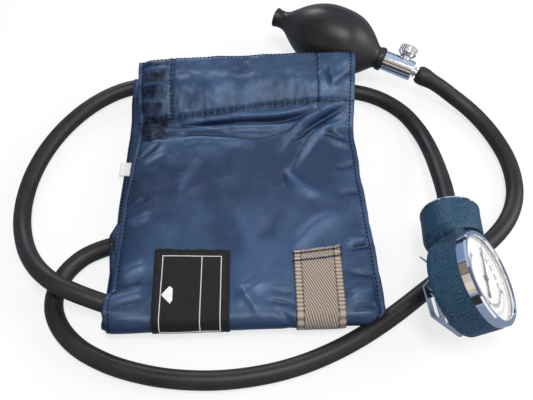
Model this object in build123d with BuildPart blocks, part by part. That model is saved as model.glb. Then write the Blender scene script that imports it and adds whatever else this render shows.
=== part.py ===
"""Aneroid sphygmomanometer, laid out on a table.

A folded cuff with its bladder, two rubber hoses, a hand bulb with a release valve,
and a hand gauge with its clip and movement. Millimetres, +Z up. The origin is on the
table, under the middle of the folded cuff. +X points to the gauge, +Y to the bulb.
"""
import os
from math import atan2, cos, pi, radians, sin, sqrt, tan

from build123d import *

os.makedirs("parts", exist_ok=True)

# Hoses
hose_od = 9.5
hose_bore = 4.8
hose_fit = 0.05
lift_over_hose = 0.5
stem_lead_length = 14.0
barb_lead_length = 13.0
stem_flare = [(5.7, 0.0), (5.5, 2.0), (5.1, 6.0), (4.75, 10.0)]
barb_flare = [(4.6, 0.0), (5.4, 1.2), (5.75, 3.0), (5.7, 5.5), (5.1, 9.0), (4.75, 11.5)]

# Folded cuff: cloth plies, bladder and sewn-on pieces
cuff_width = 134.0
cuff_front = -86.0
cuff_back = 77.0
upper_centre_x = 1.0
lower_centre_x = -4.5
leaf_back = 79.5
cloth = 0.8
ply_gap = 0.1
patch_thick = 1.2
bladder_thick = 3.6
bladder_wall = 1.0
bladder_width = 114.0
bladder_seam = 5.0
bladder_end_low = 28.0
bladder_end_high = 20.0
ramp_foot = 34.0
ramp_head = 64.0
ramp_radius = 36.0
back_ply_front = -79.5
hook_size = (88.0, 30.0)
hook_centre = (-2.0, 59.0)
loop_size = (96.0, 88.0)
loop_centre = (-4.5, -26.0)
label_size = (40.0, 37.0)
label_inset = 18.8
label_thick = 0.6
label_wrap = 75.0
strap_width = 25.0
strap_inset = 16.6
strap_thick = 1.2
strap_top = -42.5
strap_wrap = 165.0
tag_size = (14.0, 9.5)
tag_out = 2.0
tag_near = 6.0
tag_thick = 0.6
skin_gap = 0.05

# Swell of the cuff's top leaf over its plain ply, behind the label and the strap: one row for each
# place from front to back, each read from the leaf's left edge to its right
leaf_swell = [
    (-42.0, (0.0, 0.0, 0.0, 0.0, 0.0, 0.0)),
    (-18.0, (0.5, 0.9, 1.0, 1.0, 1.1, 0.5)),
    (8.0, (0.7, 1.0, 1.1, 0.9, 1.4, 0.7)),
    (34.0, (0.9, 1.2, 1.6, 1.7, 2.2, 1.2)),
    (49.0, (0.9, 1.8, 2.7, 3.4, 4.1, 3.6)),
    (64.0, (0.9, 2.3, 3.5, 4.5, 5.4, 5.8)),
    (leaf_back, (0.7, 2.2, 3.6, 4.8, 5.8, 6.4)),
]

# Bladder necks that the hoses push onto
neck_od = 6.0
neck_bore = 2.8
neck_slack = 0.4
neck_sink = 2.8
neck_grip = 7.0

# Gauge: place and lean
gauge_centre = Vector(116.8, -71.3, 38.0)
dial_azimuth = 3.2
dial_elevation = 43.6
stem_roll = -10.3

# Gauge: case, bezel, glass and dial, depths counted from the bezel's front
case_radius = 23.9
bezel_inset = 0.3
bezel_cover = 1.5
bezel_lip = 1.1
bezel_skirt = 4.8
bezel_wall = 0.9
bezel_edge = 0.8
case_depth = 21.0
case_wall = 1.6
case_rim_depth = 3.3
case_round = 2.8
dial_seat_depth = 3.9
rim_wall = 1.0
seat_ledge = 1.0
crystal_thick = 1.0
dial_thick = 0.6
dial_hole = 1.6
fit_gap = 0.1

# Gauge: stem drum with the pressure capsule
stem_depth = 15.9
drum_radius = 15.1
drum_sink = 0.9
drum_round = 5.5
drum_bore = 12.8
drum_bore_length = 15.1
pin_bore = 3.2
pin_bore_length = 2.8
pin_wall = 2.6
neck_width = 23.0
neck_inset = 0.4
neck_corner = 3.0
neck_sunk = 7.9
scoop_gap = 3.4
scoop_depth = 6.0
end_cap_radius = 15.4
end_cap_thick = 1.4
end_cap_spigot = 1.5
port_boss = 3.0
port_inner = 2.4
port_grip = 6.5
air_bore = 1.0
capsule_radius = 11.0
capsule_waist = 3.2
capsule_cells = 3
capsule_cell = 3.6
capsule_skin = 0.5

# Gauge: movement
sector_teeth = 120
pinion_teeth = 12
pivot_edge = 2.45
gear_slack = 0.05
lever_arm = 3.4
sector_swing = 30.0
gear_thick = 0.8
gear_depth = 10.0
plate_thick = 1.0
top_plate_depth = 8.0
bottom_plate_depth = 17.0
plate_clear = 1.6
plate_width = 26.0
arbor_radius = 0.6
pivot_slack = 0.03
pillar_radius = 1.5
pillar_edge = 3.2
pillar_angles = (126.0, 54.0, -55.0)
screw_radius = 0.7
screw_head = 1.3
screw_head_thick = 0.7
boss_radius = 2.6
screw_reach = 2.2
pointer_depth = 2.4
pointer_thick = 0.3
arbor_proud = 0.1
pointer_margin = 3.9
pointer_tail = 10.5
pointer_hub = 1.7
hairspring_turns = 5
hairspring_pitch = 0.8
hairspring_start = 1.4
hairspring_strip = 0.25
hairspring_depth = 11.9
hairspring_tall = 0.9
hairspring_gap = 0.15
stud_radius = 0.6
pin_radius = 0.7
pin_head = 2.4
pin_head_thick = 1.0
pin_gap = 0.3
dial_screw_spots = [(-15.0, 0.0), (15.0, 0.0)]
dial_post_radius = 1.6
dial_screw_head_thick = 0.4

# Gauge: spring clip on the back
clip_width = 14.0
clip_thick = 0.8
clip_seat = 0.45
clip_path = [(4.0, 0.0), (20.7, 0.0), (21.0, 2.4), (14.4, 8.2), (-2.8, 10.6), (-9.6, 1.3), (-20.4, 10.6)]
clip_bend = 1.2
clip_slot = (5.5, 14.0)
clip_slot_at = 5.2
clip_screw_spots = [(-3.2, 11.0), (3.2, 11.0)]
clip_screw_head = 1.5

# Bulb and release valve, lengths counted along the bulb's axis from its tail, and the
# collar's part of its outline counted back from its end
bulb_tail = Vector(17.4, 120.6, 25.0)
bulb_aim = Vector(67.5, -32.1, -6.3)
bulb_wall = 2.4
bulb_length = 76.0
bulb_tail_part = [(6.1, 0.0), (5.9, 7.0), (9.2, 12.0), (15.6, 20.6), (20.4, 33.0)]
bulb_collar_part = [(21.1, 32.0), (19.2, 21.0), (14.2, 12.8), (7.6, 5.8)]
bulb_collar = 6.8
collar_ring = 0.5
nozzle_bore = 3.7
collar_bore = 4.3
insert_start = 1.0
ball_radius = 1.7
seat_radius = 1.0
ball_travel = 1.2
stop_slot = 0.6
stop_gap = 0.2
chamber_radius = 2.4
retainer_thick = 1.0
valve_radius = 6.1
valve_length = 19.8
valve_edge = 0.6
spigot_length = 10.0
seat_length = 8.0
barb_neck = 2.0
barb_ring = 3.4
barb_gap = 3.0
barb_grip = 7.0
barb_socket = 4.0
knob_at = 12.3
knob_roll = -55.0
turret_radius = 3.4
turret_height = 7.0
spindle_radius = 2.0
spindle_tip = 0.8
spindle_start = 1.5
spindle_end = 11.6
spindle_neck = 1.5
knob_radius = 5.8
knob_start = 7.5
knob_length = 5.9
knob_chamfer = 1.6
knob_edge = 0.6
knob_grooves = 24
knob_groove_depth = 0.3
seal_depth = 0.4
seal_width = 0.8

# Sizes that follow the gauge case's radius
bezel_radius = case_radius - bezel_inset
rim_radius = bezel_radius - bezel_wall - fit_gap
bezel_opening = rim_radius - bezel_cover
dial_seat_radius = rim_radius - rim_wall
case_bore = dial_seat_radius - seat_ledge
plate_radius = case_bore - plate_clear
pointer_reach = dial_seat_radius - fit_gap - pointer_margin
gear_module = (plate_radius - pivot_edge - gear_slack) / ((sector_teeth + pinion_teeth) / 2)
pillar_ring = plate_radius - pillar_edge
pillar_spots = [(pillar_ring * cos(radians(a)), pillar_ring * sin(radians(a))) for a in pillar_angles]
drum_near = case_radius - drum_sink
pin_bore_near = drum_near + pin_wall
drum_bore_near = pin_bore_near + pin_bore_length
drum_far = drum_bore_near + drum_bore_length

hose_radius = hose_od / 2
channel_height = hose_od + lift_over_hose

# Ply heights over the resting line, from the table upwards
ply_step = cloth + ply_gap
z_back_inner = 0.0
z_back_outer = z_back_inner + ply_step
z_loop = z_back_outer + ply_step
z_mid_outer = z_loop + patch_thick + ply_gap
z_mid_bladder = z_mid_outer + ply_step
z_mid_inner = z_mid_bladder + bladder_thick + ply_gap
z_hook = z_mid_inner + ply_step
z_top_inner = z_hook + patch_thick + ply_gap
z_top_bladder = z_top_inner + ply_step
z_top_outer = z_top_bladder + bladder_thick + ply_gap
cuff_top = z_top_outer + cloth

# The front fold turns the middle plies up into the top plies about one centre
fold_radius = (cuff_top - z_mid_outer) / 2
fold_height = z_mid_outer + fold_radius
fold_y = cuff_front + fold_radius
# The back fold turns the back plies up into the middle plies
back_fold_radius = (z_mid_inner + cloth - z_back_inner) / 2
back_fold_y = cuff_back - back_fold_radius
tight_fold_radius = (z_mid_outer + cloth - z_back_outer) / 2

upper_left = upper_centre_x - cuff_width / 2
lower_left = lower_centre_x - cuff_width / 2
lower_right = lower_centre_x + cuff_width / 2
bladder_left = lower_centre_x - bladder_width / 2

# Hose routes, from the cuff outwards. Points stay as chosen by hand.
gauge_axis = Vector(1, 0, 0).rotate(Axis.Y, -dial_elevation).rotate(Axis.Z, dial_azimuth)
level_across = Vector(0, 1, 0).rotate(Axis.Z, dial_azimuth)
stem_dir = level_across.rotate(Axis((0, 0, 0), gauge_axis), stem_roll)
stem_foot = gauge_centre - gauge_axis * stem_depth
cap_face = drum_far + end_cap_thick
stem_end = stem_foot + stem_dir * (cap_face + fit_gap)
stem_lead = stem_foot + stem_dir * (cap_face + stem_lead_length)

bulb_dir = bulb_aim.normalized()
valve_end = bulb_length + valve_length
barb_end = bulb_tail + bulb_dir * (valve_end + barb_gap)
barb_lead = bulb_tail + bulb_dir * (valve_end + barb_gap + barb_lead_length)

floor = hose_radius
gauge_hose_route = [
    (-68.3, -75.0, 12.6), (-88.0, -69.8, 16.9), (-104.5, -58.5, 16.9), (-118.5, -40.0, 8.0),
    (-126.4, -15.0, floor), (-125.0, 13.0, floor), (-114.5, 41.0, floor), (-95.5, 65.0, floor),
    (-71.0, 77.6, floor), (-33.0, 78.4, floor), (8.0, 77.4, floor), (47.0, 75.6, floor),
    (76.0, 71.0, floor), (96.0, 58.5, floor), (107.2, 41.5, 5.2), (110.6, 23.0, 9.6),
    (109.8, 5.0, 16.2), tuple(stem_lead), tuple(stem_end),
]
bulb_hose_route = [
    (-70.3, -38.0, 5.8), (-83.4, -42.6, 5.0), (-91.8, -50.9, floor), (-97.0, -61.2, floor),
    (-98.6, -72.8, floor), (-96.1, -84.7, floor), (-89.4, -95.2, floor), (-77.9, -103.2, floor),
    (-59.5, -107.8, floor), (-33.6, -110.5, floor), (-3.6, -110.0, floor), (29.5, -102.4, floor),
    (65.8, -85.5, floor), (106.0, -55.2, floor), (138.5, -32.3, floor), (153.6, -10.0, floor),
    (157.0, 14.5, floor), (151.0, 38.5, floor), (141.5, 57.0, 5.4), (131.0, 69.0, 9.6),
    tuple(barb_lead), tuple(barb_end),
]

# Planes that the gauge is drawn on
gauge_right = gauge_axis.cross(stem_dir)
dial_plane = Plane(origin=gauge_centre, x_dir=gauge_right, z_dir=gauge_axis)
dial_axis = Axis(gauge_centre, gauge_axis)
dial_section = Plane(origin=gauge_centre, x_dir=gauge_right, z_dir=-dial_plane.y_dir)
side_section = Plane(origin=gauge_centre, x_dir=dial_plane.y_dir, z_dir=gauge_right)
stem_axis = Axis(stem_foot, stem_dir)
stem_section = Plane(origin=stem_foot, x_dir=gauge_axis, z_dir=gauge_right)

# Planes that the bulb and its valve are drawn on
bulb_axis = Axis(bulb_tail, bulb_dir)
bulb_up = (Vector(0, 0, 1) - bulb_dir * bulb_dir.Z).normalized()
bulb_section = Plane(origin=bulb_tail, x_dir=bulb_up, z_dir=bulb_up.cross(bulb_dir))
knob_dir = bulb_up.rotate(Axis((0, 0, 0), bulb_dir), knob_roll)
knob_foot = bulb_tail + bulb_dir * (bulb_length + knob_at)
knob_axis = Axis(knob_foot, knob_dir)
knob_section = Plane(origin=knob_foot, x_dir=bulb_dir, z_dir=bulb_dir.cross(knob_dir))


def dial_level(depth):
    """Plane square to the dial axis, at a depth behind the bezel's front."""
    return dial_plane.offset(-depth)


def turned(section, axis, outline):
    """Solid turned about an axis from a closed outline of (radius, height) points."""
    with BuildPart() as blank:
        with BuildSketch(section):
            with BuildLine():
                Polyline(*outline, close=True)
            make_face()
        revolve(axis=axis)
    return blank.part


def bored(section, axis, inner, outer, start, end):
    """Plain tube about an axis."""
    return turned(section, axis, [(inner, start), (outer, start), (outer, end), (inner, end)])


def rod(section, axis, radius, start, end):
    """Plain round bar about an axis."""
    return turned(section, axis, [(0, start), (radius, start), (radius, end), (0, end)])


def ball(section, axis, radius, centre):
    """Ball on an axis."""
    with BuildPart() as blank:
        with BuildSketch(section):
            with BuildLine():
                CenterArc((0, centre), radius, -90, 180)
                Line((0, centre - radius), (0, centre + radius))
            make_face()
        revolve(axis=axis)
    return blank.part


def ply(left, right, height, thick, near, far):
    """One ply of the folded cuff: flat at the front, lifted over the hose at the back."""
    lift = height + channel_height
    low = [(near, height), (ramp_foot, height), (ramp_head, lift), (far, lift)]
    high = [(y, z + thick) for y, z in low]
    with BuildPart() as blank:
        with BuildSketch(Plane.YZ.offset(left)):
            with BuildLine():
                FilletPolyline(*low, radius=ramp_radius)
                Line(low[-1], high[-1])
                FilletPolyline(*high, radius=ramp_radius)
                Line(high[0], low[0])
            make_face()
        extrude(amount=right - left)
    return blank.part


def swollen_leaf(left, right, height, thick):
    """The top leaf behind its sewn-on pieces: a sheet through sections across the cuff."""
    corner_lift = ramp_radius * (1 / cos(atan2(channel_height, ramp_head - ramp_foot) / 2) - 1)
    plain = []
    for y, _ in leaf_swell:
        share = min(max((y - ramp_foot) / (ramp_head - ramp_foot), 0), 1)
        plain.append(height + channel_height * share)
    plain[3] += corner_lift
    plain[5] -= corner_lift
    stations = len(leaf_swell[0][1])
    with BuildPart() as leaf:
        for station in range(stations):
            x = left + (right - left) * station / (stations - 1)
            low = [(y, z + row[station]) for (y, row), z in zip(leaf_swell, plain)]
            high = [(y, z + thick) for y, z in low]
            with BuildSketch(Plane.YZ.offset(x)):
                with BuildLine():
                    Spline(*low, tangents=[(1, 0), (1, 0.02)])
                    Line(low[-1], high[-1])
                    Spline(*high, tangents=[(1, 0), (1, 0.02)])
                    Line(high[0], low[0])
                make_face()
        loft()
    return leaf.part


def flat_ply(left, right, height, thick, near, far):
    """One ply that lies only on the flat front part."""
    with BuildPart() as blank:
        with BuildSketch(Plane.YZ.offset(left)):
            with Locations(((near + far) / 2, height + thick / 2)):
                Rectangle(far - near, thick)
        extrude(amount=right - left)
    return blank.part


def fold(left, right, centre, outer, thick, first, sweep_angle):
    """Rounded fold: part of a ring about a line along X, angles counted in the YZ plane."""
    inner = outer - thick
    turn = radians(first), radians(first + sweep_angle)
    start, end = [(cos(a), sin(a)) for a in turn]
    with BuildPart() as blank:
        with BuildSketch(Plane.YZ.offset(left)):
            with BuildLine():
                CenterArc(centre, outer, first, sweep_angle)
                CenterArc(centre, inner, first, sweep_angle)
                for ray in (start, end):
                    Line((centre[0] + ray[0] * inner, centre[1] + ray[1] * inner),
                         (centre[0] + ray[0] * outer, centre[1] + ray[1] * outer))
            make_face()
        extrude(amount=right - left)
    return blank.part


def corner_radii(route):
    """Largest arc that each corner's two runs allow."""
    points = [Vector(*p) for p in route]
    radii = []
    for before, here, after in zip(points, points[1:], points[2:]):
        arriving = here - before
        leaving = after - here
        shorter = min(arriving.length, leaving.length)
        half_turn = radians(arriving.get_angle(leaving)) / 2
        radii.append(0.45 * shorter / tan(half_turn))
    return radii


def hose(name, route, flare):
    """Rubber hose along straight runs joined by tangent arcs, stretched wider over its last fitting."""
    radii = corner_radii(route)
    with BuildPart() as tube:
        with BuildLine() as path:
            FilletPolyline(*route, radius=radii)
        with BuildSketch(Plane(origin=path.line @ 0, z_dir=path.line % 0)):
            Circle(hose_radius)
            Circle(hose_bore / 2, mode=Mode.SUBTRACT)
        sweep()
        section = pi * (hose_radius ** 2 - (hose_bore / 2) ** 2)
        length = sum(edge.length for edge in path.line.edges())
        print(name, "radii", [round(r) for r in radii], "length", round(length, 1),
              "volume ratio", round(tube.part.volume / (section * length), 5))
        end = Vector(*route[-1])
        back = (Vector(*route[-2]) - end).normalized()
        across = back.cross(Vector(0, 0, 1)).normalized()
        with BuildSketch(Plane(origin=end, x_dir=across, z_dir=across.cross(back))):
            with BuildLine():
                Spline(*flare)
                Polyline(flare[-1], (hose_radius - 1, flare[-1][1]), (hose_radius - 1, 0), flare[0])
            make_face()
        revolve(axis=Axis(end, back))
    return tube


def toothed_arc(centre, pitch_radius, first, count, step):
    """Outline points of slim teeth on a pitch circle, angles in degrees."""
    tip = pitch_radius + 0.8 * gear_module
    root = pitch_radius - 1.15 * gear_module
    points = []
    for index in range(count):
        middle = first + index * step
        for radius, share in ((root, -0.26), (tip, -0.1), (tip, 0.1), (root, 0.26)):
            angle = radians(middle + share * step)
            points.append((centre[0] + radius * cos(angle), centre[1] + radius * sin(angle)))
    return points


# Hoses
gauge_hose = hose("gauge_hose", gauge_hose_route, stem_flare)
bulb_hose = hose("bulb_hose", bulb_hose_route, barb_flare)


def neck(route):
    """Neck of the bladder on the line of a hose's first run: (plane, axis, length of its root)."""
    start = Vector(*route[0])
    aim = (Vector(*route[1]) - start).normalized()
    across = aim.cross(Vector(0, 0, 1)).normalized()
    root = (bladder_left - start.X) / -aim.X + neck_sink
    return Plane(origin=start, x_dir=across, z_dir=across.cross(aim)), Axis(start, aim), root


gauge_neck = neck(gauge_hose_route)
bulb_neck = neck(bulb_hose_route)

# Cuff cloth
inside_left = bladder_left + bladder_seam
with BuildPart() as slots:
    for plane, axis, root in (gauge_neck, bulb_neck):
        add(rod(plane, axis, hose_radius + lift_over_hose, -1.2, neck_grip + 1))
        add(rod(plane, axis, neck_od / 2 + neck_slack, -root, 0.0))

run_start = Vector(*bulb_hose_route[11])
run_corner = Vector(*bulb_hose_route[12])
run_end = Vector(*bulb_hose_route[13])
with BuildPart() as relief:
    for first, last in ((run_start, run_corner), (run_corner, run_end)):
        middle = (first + last) / 2
        heading = Vector(1, 0, 0).get_signed_angle(last - first, Vector(0, 0, 1))
        with Locations(Location((middle.X, middle.Y, z_top_inner / 2 - 0.05), (0, 0, heading))):
            Box((last - first).length + 6, hose_od + 2.6, z_top_inner + 0.1)

upper = (upper_left, upper_left + cuff_width)
lower = (lower_left, lower_right)
front_centre = (fold_y, fold_height)
back_centre = (back_fold_y, channel_height + back_fold_radius)
tight_centre = (back_fold_y, channel_height + z_back_outer + tight_fold_radius)

with BuildPart() as cuff_outer_cloth:
    add(flat_ply(*upper, z_top_outer, cloth, fold_y, leaf_swell[0][0]))
    add(swollen_leaf(*upper, z_top_outer, cloth))
    add(fold(*lower, front_centre, fold_radius, cloth, 90, 180))
    add(fold(*upper, front_centre, fold_radius, cloth, 90, 90))
    add(ply(*lower, z_mid_outer, cloth, fold_y, back_fold_y))
    add(fold(*lower, tight_centre, tight_fold_radius, cloth, -90, 180))
    add(ply(*lower, z_back_outer, cloth, back_ply_front, back_fold_y))
    add(relief.part, mode=Mode.SUBTRACT)
    add(slots.part, mode=Mode.SUBTRACT)

inner_fold_radius = fold_radius - (z_mid_inner - z_mid_outer)
with BuildPart() as cuff_inner_cloth:
    add(ply(*upper, z_top_inner, cloth, fold_y, cuff_back))
    add(fold(*lower, front_centre, inner_fold_radius, cloth, 90, 180))
    add(ply(*lower, z_mid_inner, cloth, fold_y, back_fold_y))
    add(fold(*lower, back_centre, back_fold_radius, cloth, -90, 180))
    add(ply(*lower, z_back_inner, cloth, back_ply_front, back_fold_y))
    add(relief.part, mode=Mode.SUBTRACT)
    add(slots.part, mode=Mode.SUBTRACT)

# Bladder: a flat rubber bag folded round the front, with two necks
bladder_fold = fold_radius - ply_step
bladder_right = bladder_left + bladder_width
cavity = (inside_left, bladder_right - bladder_seam)
cavity_thick = bladder_thick - 2 * bladder_wall
with BuildPart() as bladder:
    add(flat_ply(bladder_left, bladder_right, z_mid_bladder, bladder_thick, fold_y, bladder_end_low))
    add(flat_ply(bladder_left, bladder_right, z_top_bladder, bladder_thick, fold_y, bladder_end_high))
    add(fold(bladder_left, bladder_right, front_centre, bladder_fold, bladder_thick, 90, 180))
    for plane, axis, root in (gauge_neck, bulb_neck):
        add(rod(plane, axis, neck_od / 2, -root, -fit_gap))
        add(rod(plane, axis, hose_bore / 2 - hose_fit, -root, neck_grip))
    add(flat_ply(*cavity, z_mid_bladder + bladder_wall, cavity_thick, fold_y,
                 bladder_end_low - bladder_seam), mode=Mode.SUBTRACT)
    add(flat_ply(*cavity, z_top_bladder + bladder_wall, cavity_thick, fold_y,
                 bladder_end_high - bladder_seam), mode=Mode.SUBTRACT)
    add(fold(*cavity, front_centre, bladder_fold - bladder_wall, cavity_thick, 90, 180),
        mode=Mode.SUBTRACT)
    for plane, axis, root in (gauge_neck, bulb_neck):
        add(rod(plane, axis, neck_bore / 2, -root - bladder_seam, neck_grip + 1), mode=Mode.SUBTRACT)

# Sewn-on pieces
with BuildPart() as hook_patch:
    add(ply(hook_centre[0] - hook_size[0] / 2, hook_centre[0] + hook_size[0] / 2,
            z_hook, patch_thick, fold_y, back_fold_y))
    with Locations((hook_centre[0], hook_centre[1], channel_height + z_hook)):
        Box(hook_size[0], hook_size[1], 4 * channel_height, mode=Mode.INTERSECT)

with BuildPart() as loop_patch:
    add(flat_ply(loop_centre[0] - loop_size[0] / 2, loop_centre[0] + loop_size[0] / 2, z_loop, patch_thick,
                 loop_centre[1] - loop_size[1] / 2, loop_centre[1] + loop_size[1] / 2))

label_span = (upper_left + label_inset, upper_left + label_inset + label_size[0])
with BuildPart() as marker_label:
    add(flat_ply(*label_span, cuff_top + skin_gap, label_thick, fold_y, fold_y + label_size[1]))
    add(fold(*label_span, front_centre, fold_radius + skin_gap + label_thick, label_thick, 90, label_wrap))

strap_right = upper_left + cuff_width - strap_inset
strap_span = (strap_right - strap_width, strap_right)
with BuildPart() as gauge_strap:
    add(flat_ply(*strap_span, cuff_top + skin_gap, strap_thick, fold_y, strap_top))
    add(fold(*strap_span, front_centre, fold_radius + skin_gap + strap_thick, strap_thick, 90, strap_wrap))

with BuildPart() as size_tag:
    with Locations((lower_left - tag_out + tag_size[0] / 2, tag_near + tag_size[1] / 2,
                    z_hook + skin_gap + tag_thick / 2)):
        Box(tag_size[0], tag_size[1], tag_thick)

# Gauge casting: cup, drum for the capsule, and the neck between them
case_back = -case_depth
shoulder = -bezel_skirt - fit_gap
with BuildPart() as gauge_case:
    with BuildSketch(dial_section):
        with BuildLine():
            Polyline((0, -case_rim_depth), (rim_radius, -case_rim_depth), (rim_radius, shoulder),
                     (case_radius, shoulder), (case_radius, case_back + case_round))
            RadiusArc((case_radius, case_back + case_round), (case_radius - case_round, case_back), case_round)
            Line((case_radius - case_round, case_back), (0, case_back))
            Line((0, case_back), (0, -case_rim_depth))
        make_face()
    revolve(axis=dial_axis)
    with BuildSketch(stem_section):
        with BuildLine():
            Line((0, drum_near), (drum_radius - drum_round, drum_near))
            RadiusArc((drum_radius - drum_round, drum_near), (drum_radius, drum_near + drum_round), -drum_round)
            Line((drum_radius, drum_near + drum_round), (drum_radius, drum_far))
            Line((drum_radius, drum_far), (0, drum_far))
            Line((0, drum_far), (0, drum_near))
        make_face()
    revolve(axis=stem_axis)
    neck_low = stem_depth - case_depth + neck_inset
    neck_high = drum_radius - drum_round
    with BuildSketch(Plane(origin=stem_foot + stem_dir * (case_radius - neck_sunk), x_dir=gauge_right, z_dir=stem_dir)):
        with Locations((0, (neck_low + neck_high) / 2)):
            RectangleRounded(neck_width, neck_high - neck_low, neck_corner)
    extrude(amount=drum_near - case_radius + neck_sunk + drum_round / 2)
    add(rod(dial_section, dial_axis, bezel_radius + scoop_gap, -scoop_depth, 2), mode=Mode.SUBTRACT)
    add(turned(dial_section, dial_axis, [
        (0, -scoop_depth - 1), (case_radius, -scoop_depth - 1), (case_radius, shoulder), (rim_radius, shoulder),
        (rim_radius, -case_rim_depth), (0, -case_rim_depth)]))
    add(turned(dial_section, dial_axis, [
        (0, 1), (dial_seat_radius, 1), (dial_seat_radius, -dial_seat_depth), (case_bore, -dial_seat_depth),
        (case_bore, case_back + case_wall), (0, case_back + case_wall)]), mode=Mode.SUBTRACT)
    add(rod(stem_section, stem_axis, drum_bore, drum_bore_near, drum_far + 1), mode=Mode.SUBTRACT)
    add(rod(stem_section, stem_axis, pin_bore, pin_bore_near, drum_bore_near + 1), mode=Mode.SUBTRACT)
    with BuildSketch(dial_level(case_depth - case_wall / 2)):
        with Locations(*pillar_spots):
            Circle(boss_radius)
    extrude(amount=case_depth - case_wall / 2 - bottom_plate_depth - plate_thick)
    with BuildSketch(dial_level(bottom_plate_depth + plate_thick + screw_reach)):
        with Locations(*pillar_spots):
            Circle(screw_radius + hose_fit)
    extrude(amount=screw_reach, mode=Mode.SUBTRACT)
    add(rod(stem_section, stem_axis, pin_radius + hose_fit, case_bore / 2, pin_bore_near + 1), mode=Mode.SUBTRACT)
    with BuildSketch(dial_level(case_depth + 1)):
        with Locations(*clip_screw_spots):
            Circle(screw_radius + hose_fit)
    extrude(amount=case_wall + 2, mode=Mode.SUBTRACT)

glass_front = bezel_lip + fit_gap
glass_back = glass_front + crystal_thick
with BuildPart() as bezel:
    add(turned(dial_section, dial_axis, [
        (bezel_opening, -bezel_edge / 2), (bezel_opening + bezel_edge / 2, 0), (bezel_radius - bezel_edge, 0),
        (bezel_radius, -bezel_edge), (bezel_radius, -bezel_skirt), (rim_radius + fit_gap, -bezel_skirt),
        (rim_radius + fit_gap, -bezel_lip), (bezel_opening, -bezel_lip)]))

with BuildPart() as crystal:
    add(rod(dial_section, dial_axis, rim_radius, -glass_back, -glass_front))

gasket_front = glass_back + fit_gap
with BuildPart() as crystal_gasket:
    add(bored(dial_section, dial_axis, dial_seat_radius, rim_radius,
              -case_rim_depth + fit_gap, -gasket_front))

dial_front = dial_seat_depth - fit_gap - dial_thick
with BuildPart() as dial_plate:
    with BuildSketch(dial_level(dial_front + dial_thick)):
        Circle(dial_seat_radius - fit_gap)
        Circle(dial_hole, mode=Mode.SUBTRACT)
        with Locations(*dial_screw_spots):
            Circle(screw_radius + hose_fit, mode=Mode.SUBTRACT)
    extrude(amount=dial_thick)

# Movement: two plates on pillars, sector with its rocking shaft, pinion arbor, hairspring
pinion_pitch = gear_module * pinion_teeth / 2
sector_pitch = gear_module * sector_teeth / 2
centre_distance = pinion_pitch + sector_pitch + gear_slack
sector_pivot = (-lever_arm, -sqrt(centre_distance ** 2 - lever_arm ** 2))
mesh_angle = Vector(1, 0, 0).get_angle(Vector(-sector_pivot[0], -sector_pivot[1], 0))
plates_gap = bottom_plate_depth - top_plate_depth - plate_thick
pivot_hole = arbor_radius + pivot_slack
dial_post_top = dial_front + dial_thick + fit_gap


def plate_shape():
    """Outline of a movement plate with its pivot and screw holes."""
    Circle(plate_radius)
    Rectangle(plate_width, 2 * plate_radius, mode=Mode.INTERSECT)
    with Locations((0, 0), sector_pivot):
        Circle(pivot_hole, mode=Mode.SUBTRACT)
    with Locations(*pillar_spots):
        Circle(screw_radius + hose_fit, mode=Mode.SUBTRACT)


with BuildPart() as movement_top_plate:
    with BuildSketch(dial_level(top_plate_depth + plate_thick)):
        plate_shape()
        with Locations(*dial_screw_spots):
            Circle(dial_post_radius + 1)
    extrude(amount=plate_thick)
    with BuildSketch(dial_level(top_plate_depth)):
        with Locations(*dial_screw_spots):
            Circle(dial_post_radius)
    extrude(amount=top_plate_depth - dial_post_top)
    with BuildSketch(dial_level(top_plate_depth + plate_thick)):
        with Locations(*dial_screw_spots):
            Circle(screw_radius + hose_fit)
    extrude(amount=top_plate_depth, mode=Mode.SUBTRACT)

hairspring_end = (-(hairspring_start + hairspring_turns * hairspring_pitch), 0)
with BuildPart() as movement_bottom_plate:
    with BuildSketch(dial_level(bottom_plate_depth + plate_thick)):
        plate_shape()
    extrude(amount=plate_thick)
    with BuildSketch(dial_level(bottom_plate_depth)):
        with Locations(hairspring_end):
            Circle(stud_radius)
    extrude(amount=bottom_plate_depth - hairspring_depth - hairspring_tall)

with BuildPart() as movement_pillars:
    with BuildSketch(dial_level(bottom_plate_depth)):
        with Locations(*pillar_spots):
            Circle(pillar_radius)
            Circle(screw_radius + hose_fit, mode=Mode.SUBTRACT)
    extrude(amount=plates_gap)

with BuildPart() as movement_screws:
    with BuildSketch(dial_level(bottom_plate_depth + plate_thick + screw_reach - 0.3)):
        with Locations(*pillar_spots):
            Circle(screw_radius)
    extrude(amount=bottom_plate_depth + plate_thick + screw_reach - 0.3 - top_plate_depth)
    with BuildSketch(dial_level(top_plate_depth)):
        with Locations(*pillar_spots):
            Circle(screw_head)
    extrude(amount=screw_head_thick)

with BuildPart() as dial_screws:
    with BuildSketch(dial_level(top_plate_depth + plate_thick / 2)):
        with Locations(*dial_screw_spots):
            Circle(screw_radius)
    extrude(amount=top_plate_depth + plate_thick / 2 - dial_front)
    with BuildSketch(dial_level(dial_front)):
        with Locations(*dial_screw_spots):
            Circle(screw_head)
    extrude(amount=dial_screw_head_thick)

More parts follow.
